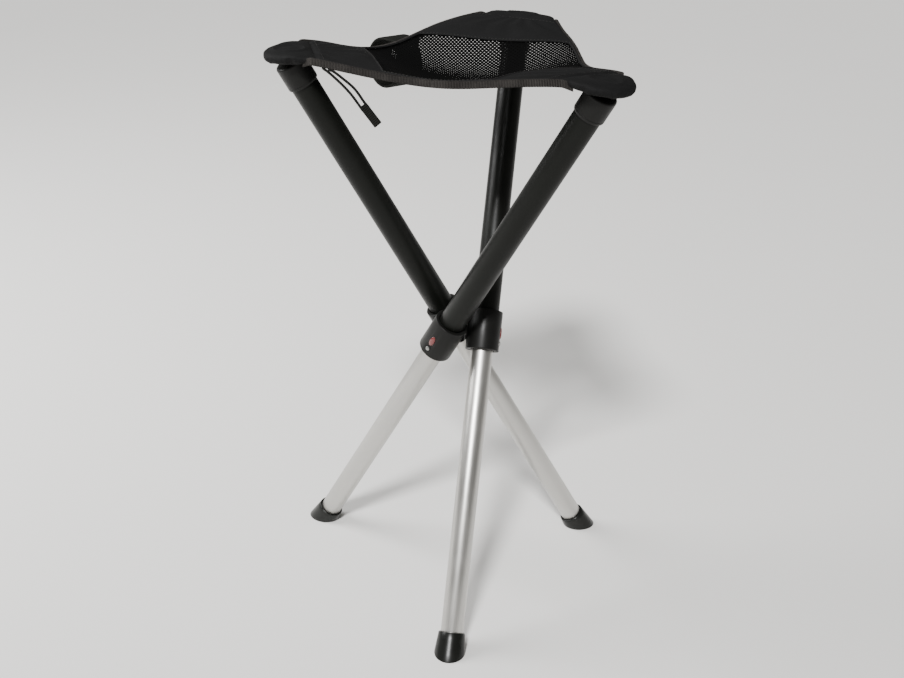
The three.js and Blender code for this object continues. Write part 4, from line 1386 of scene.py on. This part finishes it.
class STOOL_OT_loop(bpy.types.Operator):
    """Adds the webbing loop that the folded stool is carried by"""

    bl_idname = "stool.carry_loop"
    bl_label = "Carrying loop"

    def execute(self, context):
        centre_out = CHORD_REACH + EDGE_MID + EDGE_CURVE * LOOP_SHIFT**2 + LOOP_STAND_OFF
        centre_up = float(seat_height(*edge_point(LOOP_SHIFT))) - LOOP_DROP - LOOP_RADIUS
        middle, low = LOOP_RADIUS - LOOP_THICK / 2, LOOP_RADIUS - 1.5 * LOOP_THICK
        tab_end = SEAT_GAP - LOOP_STAND_OFF
        start = math.pi / 2
        sweep = 2 * math.pi + start - (math.pi - math.asin(low / middle))
        # Out along the upper tab, round the loop, and back along the lower tab
        path = [(tab_end - tab_end * step / 8, middle) for step in range(8)]
        turns = [start - sweep * step / 72 for step in range(73)]
        path += [(middle * math.cos(turn), middle * math.sin(turn)) for turn in turns]
        last = path[-1][0]
        path += [(last + (tab_end - last) * step / 6, low) for step in range(1, 7)]
        path = np.array(path)
        normals, level = path_normals(path), np.zeros(len(path))
        points = np.column_stack([path[:, 0] + centre_out, level + LOOP_SHIFT, path[:, 1] + centre_up])
        outwards = np.column_stack([normals[:, 0], level, normals[:, 1]])
        across = np.tile([0.0, 1.0, 0.0], (len(path), 1))
        profile = flat_profile(LOOP_THICK / 2 - 0.05, LOOP_WIDTH / 2, 0.8, 3)
        edge = corner_place(0) @ Matrix.Rotation(math.pi / 3, 4, "Z")
        strap = swept("carry_strap", points, outwards, profile, finish_for("strap"), edge, ups=across)
        placed(strap, "hub_and_seat", nodes=["carry_loop"])
        return {"FINISHED"}


class STOOL_OT_pull_cord(bpy.types.Operator):
    """Adds the pull cord's two strands and the tag on their ends"""

    bl_idname = "stool.pull_cord"
    bl_label = "Pull cord"

    def execute(self, context):
        place = corner_place(1) @ Matrix.Rotation(math.pi / 3, 4, "Z")
        out = CHORD_REACH + EDGE_MID + EDGE_CURVE * CORD_STARTS[0] ** 2 - BINDING_WIDTH / 2
        tag = self.tag(place, out)
        bend = corner_bend(1)
        placed(tag, bend=bend, nodes=["pull_tag"])
        for number, (route, start) in enumerate(zip(CORD_ROUTES, CORD_STARTS)):
            top = float(seat_height(*edge_point(start))) - BINDING_HEIGHT
            knots = [(start, top), (start, top - CORD_DIP), *route]
            path = self.curve([Vector((out, along, up)) for along, up in knots])
            obj = self.tube(f"pull_strand_{number + 1}", path, place)
            placed(obj, bend=bend, nodes=[f"pull_cord_{number + 1}"])
            world = [place @ (p * MM) for p in path]
            sum((b - a).length for a, b in zip(world, world[1:]))
        return {"FINISHED"}

    def curve(self, knots, steps=6):
        """Centripetal curve through the knots, as in the part's source."""
        knots = [knots[0] * 2 - knots[1], *knots, knots[-1] * 2 - knots[-2]]
        path = []
        for i in range(1, len(knots) - 2):
            p0, p1, p2, p3 = knots[i - 1 : i + 3]
            d0, d1, d2 = ((b - a).length ** 0.5 for a, b in ((p0, p1), (p1, p2), (p2, p3)))
            t1 = ((p1 - p0) / d0 - (p2 - p0) / (d0 + d1) + (p2 - p1) / d1) * d1
            t2 = ((p2 - p1) / d1 - (p3 - p1) / (d1 + d2) + (p3 - p2) / d2) * d1
            for step in range(steps):
                t = step / steps
                path.append(
                    p1 * (2 * t**3 - 3 * t**2 + 1) + t1 * (t**3 - 2 * t**2 + t)
                    + p2 * (-2 * t**3 + 3 * t**2) + t2 * (t**3 - t**2)
                )
        path.append(knots[-2])
        return path

    def tube(self, name, path, place):
        """A round cord along a path that lies upright along the edge."""
        points = np.array([tuple(p) for p in path])
        along = np.gradient(points, axis=0)
        along /= np.linalg.norm(along, axis=1)[:, None]
        across = np.tile([1.0, 0.0, 0.0], (len(points), 1))
        ups = np.cross(along, across)
        ups /= np.linalg.norm(ups, axis=1)[:, None]
        radius, turns = CORD_DIAMETER / 2, [2 * math.pi * i / 20 for i in range(20)]
        profile = [(radius * math.cos(turn), radius * math.sin(turn)) for turn in turns]
        return swept(name, points, across, profile, finish_for("cord"), place, ups=ups, sharp=60)

    def tag(self, place, out):
        """The tag, in line with the strands' last stretch and lapped over their ends."""
        first, second = CORD_ROUTES
        middle, before = ((Vector(first[knot]) + Vector(second[knot])) / 2 for knot in (-1, -2))
        along = middle - before
        end = CORD_DIAMETER / 2 + SEAT_GAP + TAG_LENGTH
        profile = flat_profile(TAG_THICK / 2, TAG_WIDTH / 2, 0.9, 3)
        path = [(0, -TAG_OVERLAP + (end + TAG_OVERLAP) * step / 16, 0) for step in range(17)]
        outwards = np.tile([1.0, 0.0, 0.0], (17, 1))
        obj = swept("pull_tag_end", path, outwards, profile, finish_for("strap"), None)
        bevel = obj.modifiers.new("Soft", "BEVEL")
        bevel.width, bevel.segments = 0.0006, 3
        bevel.limit_method, bevel.angle_limit = "ANGLE", math.radians(50)
        settle_modifiers(obj)
        turn = Matrix.Rotation(math.atan2(along.y, along.x), 4, "X")
        obj.data.transform(place @ Matrix.Translation((out * MM, middle.x * MM, middle.y * MM)) @ turn)
        return obj


class STOOL_OT_hardware(bpy.types.Operator):
    """Gives the hub, screws, strips and plugs their finishes"""

    bl_idname = "stool.hardware"
    bl_label = "Hub and hidden parts"

    def execute(self, context):
        slots = {row["node"]: row["material_slot"] for row in frame["record"]["subparts"]}
        for node, obj in frame["nodes"].items():
            if obj.hide_render:
                continue
            finish = finish_for(slots[node])
            if not obj.material_slots:
                raise RuntimeError(f"{node} has no material slot")
            for slot in obj.material_slots:
                slot.material = finish
        return {"FINISHED"}


class STOOL_OT_stage(bpy.types.Operator):
    """Adds the floor, the lights and the camera"""

    bl_idname = "stool.stage"
    bl_label = "Stage"

    def execute(self, context):
        look = context.scene.stool_stage
        self.floor(look)
        key = self.lamp("key_light", "SUN", look.key, KEY_PLACE, KEY_AIM)
        key.angle = look.key_angle
        fill = self.lamp("fill_light", "AREA", look.fill, FILL_PLACE, FILL_AIM)
        fill.size, fill.shape = look.fill_size, "DISK"
        world = bpy.data.worlds.new("studio")
        context.scene.world = world
        world.use_nodes = True
        world.node_tree.nodes["Background"].inputs[0].default_value = WORLD_COLOUR
        world.node_tree.nodes["Background"].inputs[1].default_value = look.world
        self.camera(context, look)
        return {"FINISHED"}

    def floor(self, look):
        """A wide plain floor that fills every view of the stool from above it."""
        far = look.floor_reach / MM
        points = [(-far, -far, 0), (far, -far, 0), (far, far, 0), (-far, far, 0)]
        paper = paper_floor("studio_paper", look.floor)
        make("studio_floor", points, [(0, 1, 2, 3)], None, paper, sharp=180)

    def lamp(self, name, kind, strength, place, aim):
        light = bpy.data.lights.new(name, kind)
        light.energy = strength
        obj = added(name, light)
        obj.location = place
        obj.rotation_euler = (Vector(aim) - Vector(place)).to_track_quat("-Z", "Y").to_euler()
        return light

    def camera(self, context, look):
        data = bpy.data.cameras.new("camera")
        data.sensor_width, data.lens = 36.0, look.lens * 1000
        obj = added("camera", data)
        right, up, ahead = (Vector(axis) for axis in CAMERA_AXES)
        place = Matrix((right, up, -ahead)).transposed().to_4x4()
        centre = seat_centre()
        place.translation = Vector(CAMERA_PLACE) + Vector((centre.x, centre.y, 0))
        obj.matrix_world = place
        context.scene.camera = obj


STEPS = [
    STOOL_OT_pull_cord, STOOL_OT_tubes, STOOL_OT_caps, STOOL_OT_collars, STOOL_OT_locks, STOOL_OT_feet,
    STOOL_OT_cover, STOOL_OT_pockets, STOOL_OT_binding, STOOL_OT_net, STOOL_OT_stitches, STOOL_OT_loop,
    STOOL_OT_hardware,
]


class STOOL_PT_panel(bpy.types.Panel):
    """Lists the stool's pieces in the order they are made"""

    bl_label = "Telescopic Stool"
    bl_idname = "STOOL_PT_panel"
    bl_space_type = "VIEW_3D"
    bl_region_type = "UI"
    bl_category = "Stool"

    def draw(self, context):
        column = self.layout.column(align=True)
        for step in [STOOL_OT_stage, *STEPS]:
            column.operator(step.bl_idname)
        for group in (context.scene.stool_sizes, context.scene.stool_colours, context.scene.stool_stage):
            for key in group.__annotations__:
                self.layout.prop(group, key)


GROUPS = [StoolSizes, StoolColours, StoolStage]
CLASSES = [*GROUPS, STOOL_OT_stage, *STEPS, STOOL_PT_panel]


def register():
    for item in CLASSES:
        bpy.utils.register_class(item)
    bpy.types.Scene.stool_sizes = PointerProperty(type=StoolSizes)
    bpy.types.Scene.stool_colours = PointerProperty(type=StoolColours)
    bpy.types.Scene.stool_stage = PointerProperty(type=StoolStage)


def unregister():
    del bpy.types.Scene.stool_stage
    del bpy.types.Scene.stool_colours
    del bpy.types.Scene.stool_sizes
    for item in reversed(CLASSES):
        bpy.utils.unregister_class(item)


def main():
    register()
    for step in [STOOL_OT_stage, *STEPS]:
        area, name = step.bl_idname.split(".")
        getattr(getattr(bpy.ops, area), name)()


if __name__ == "__main__":
    main()
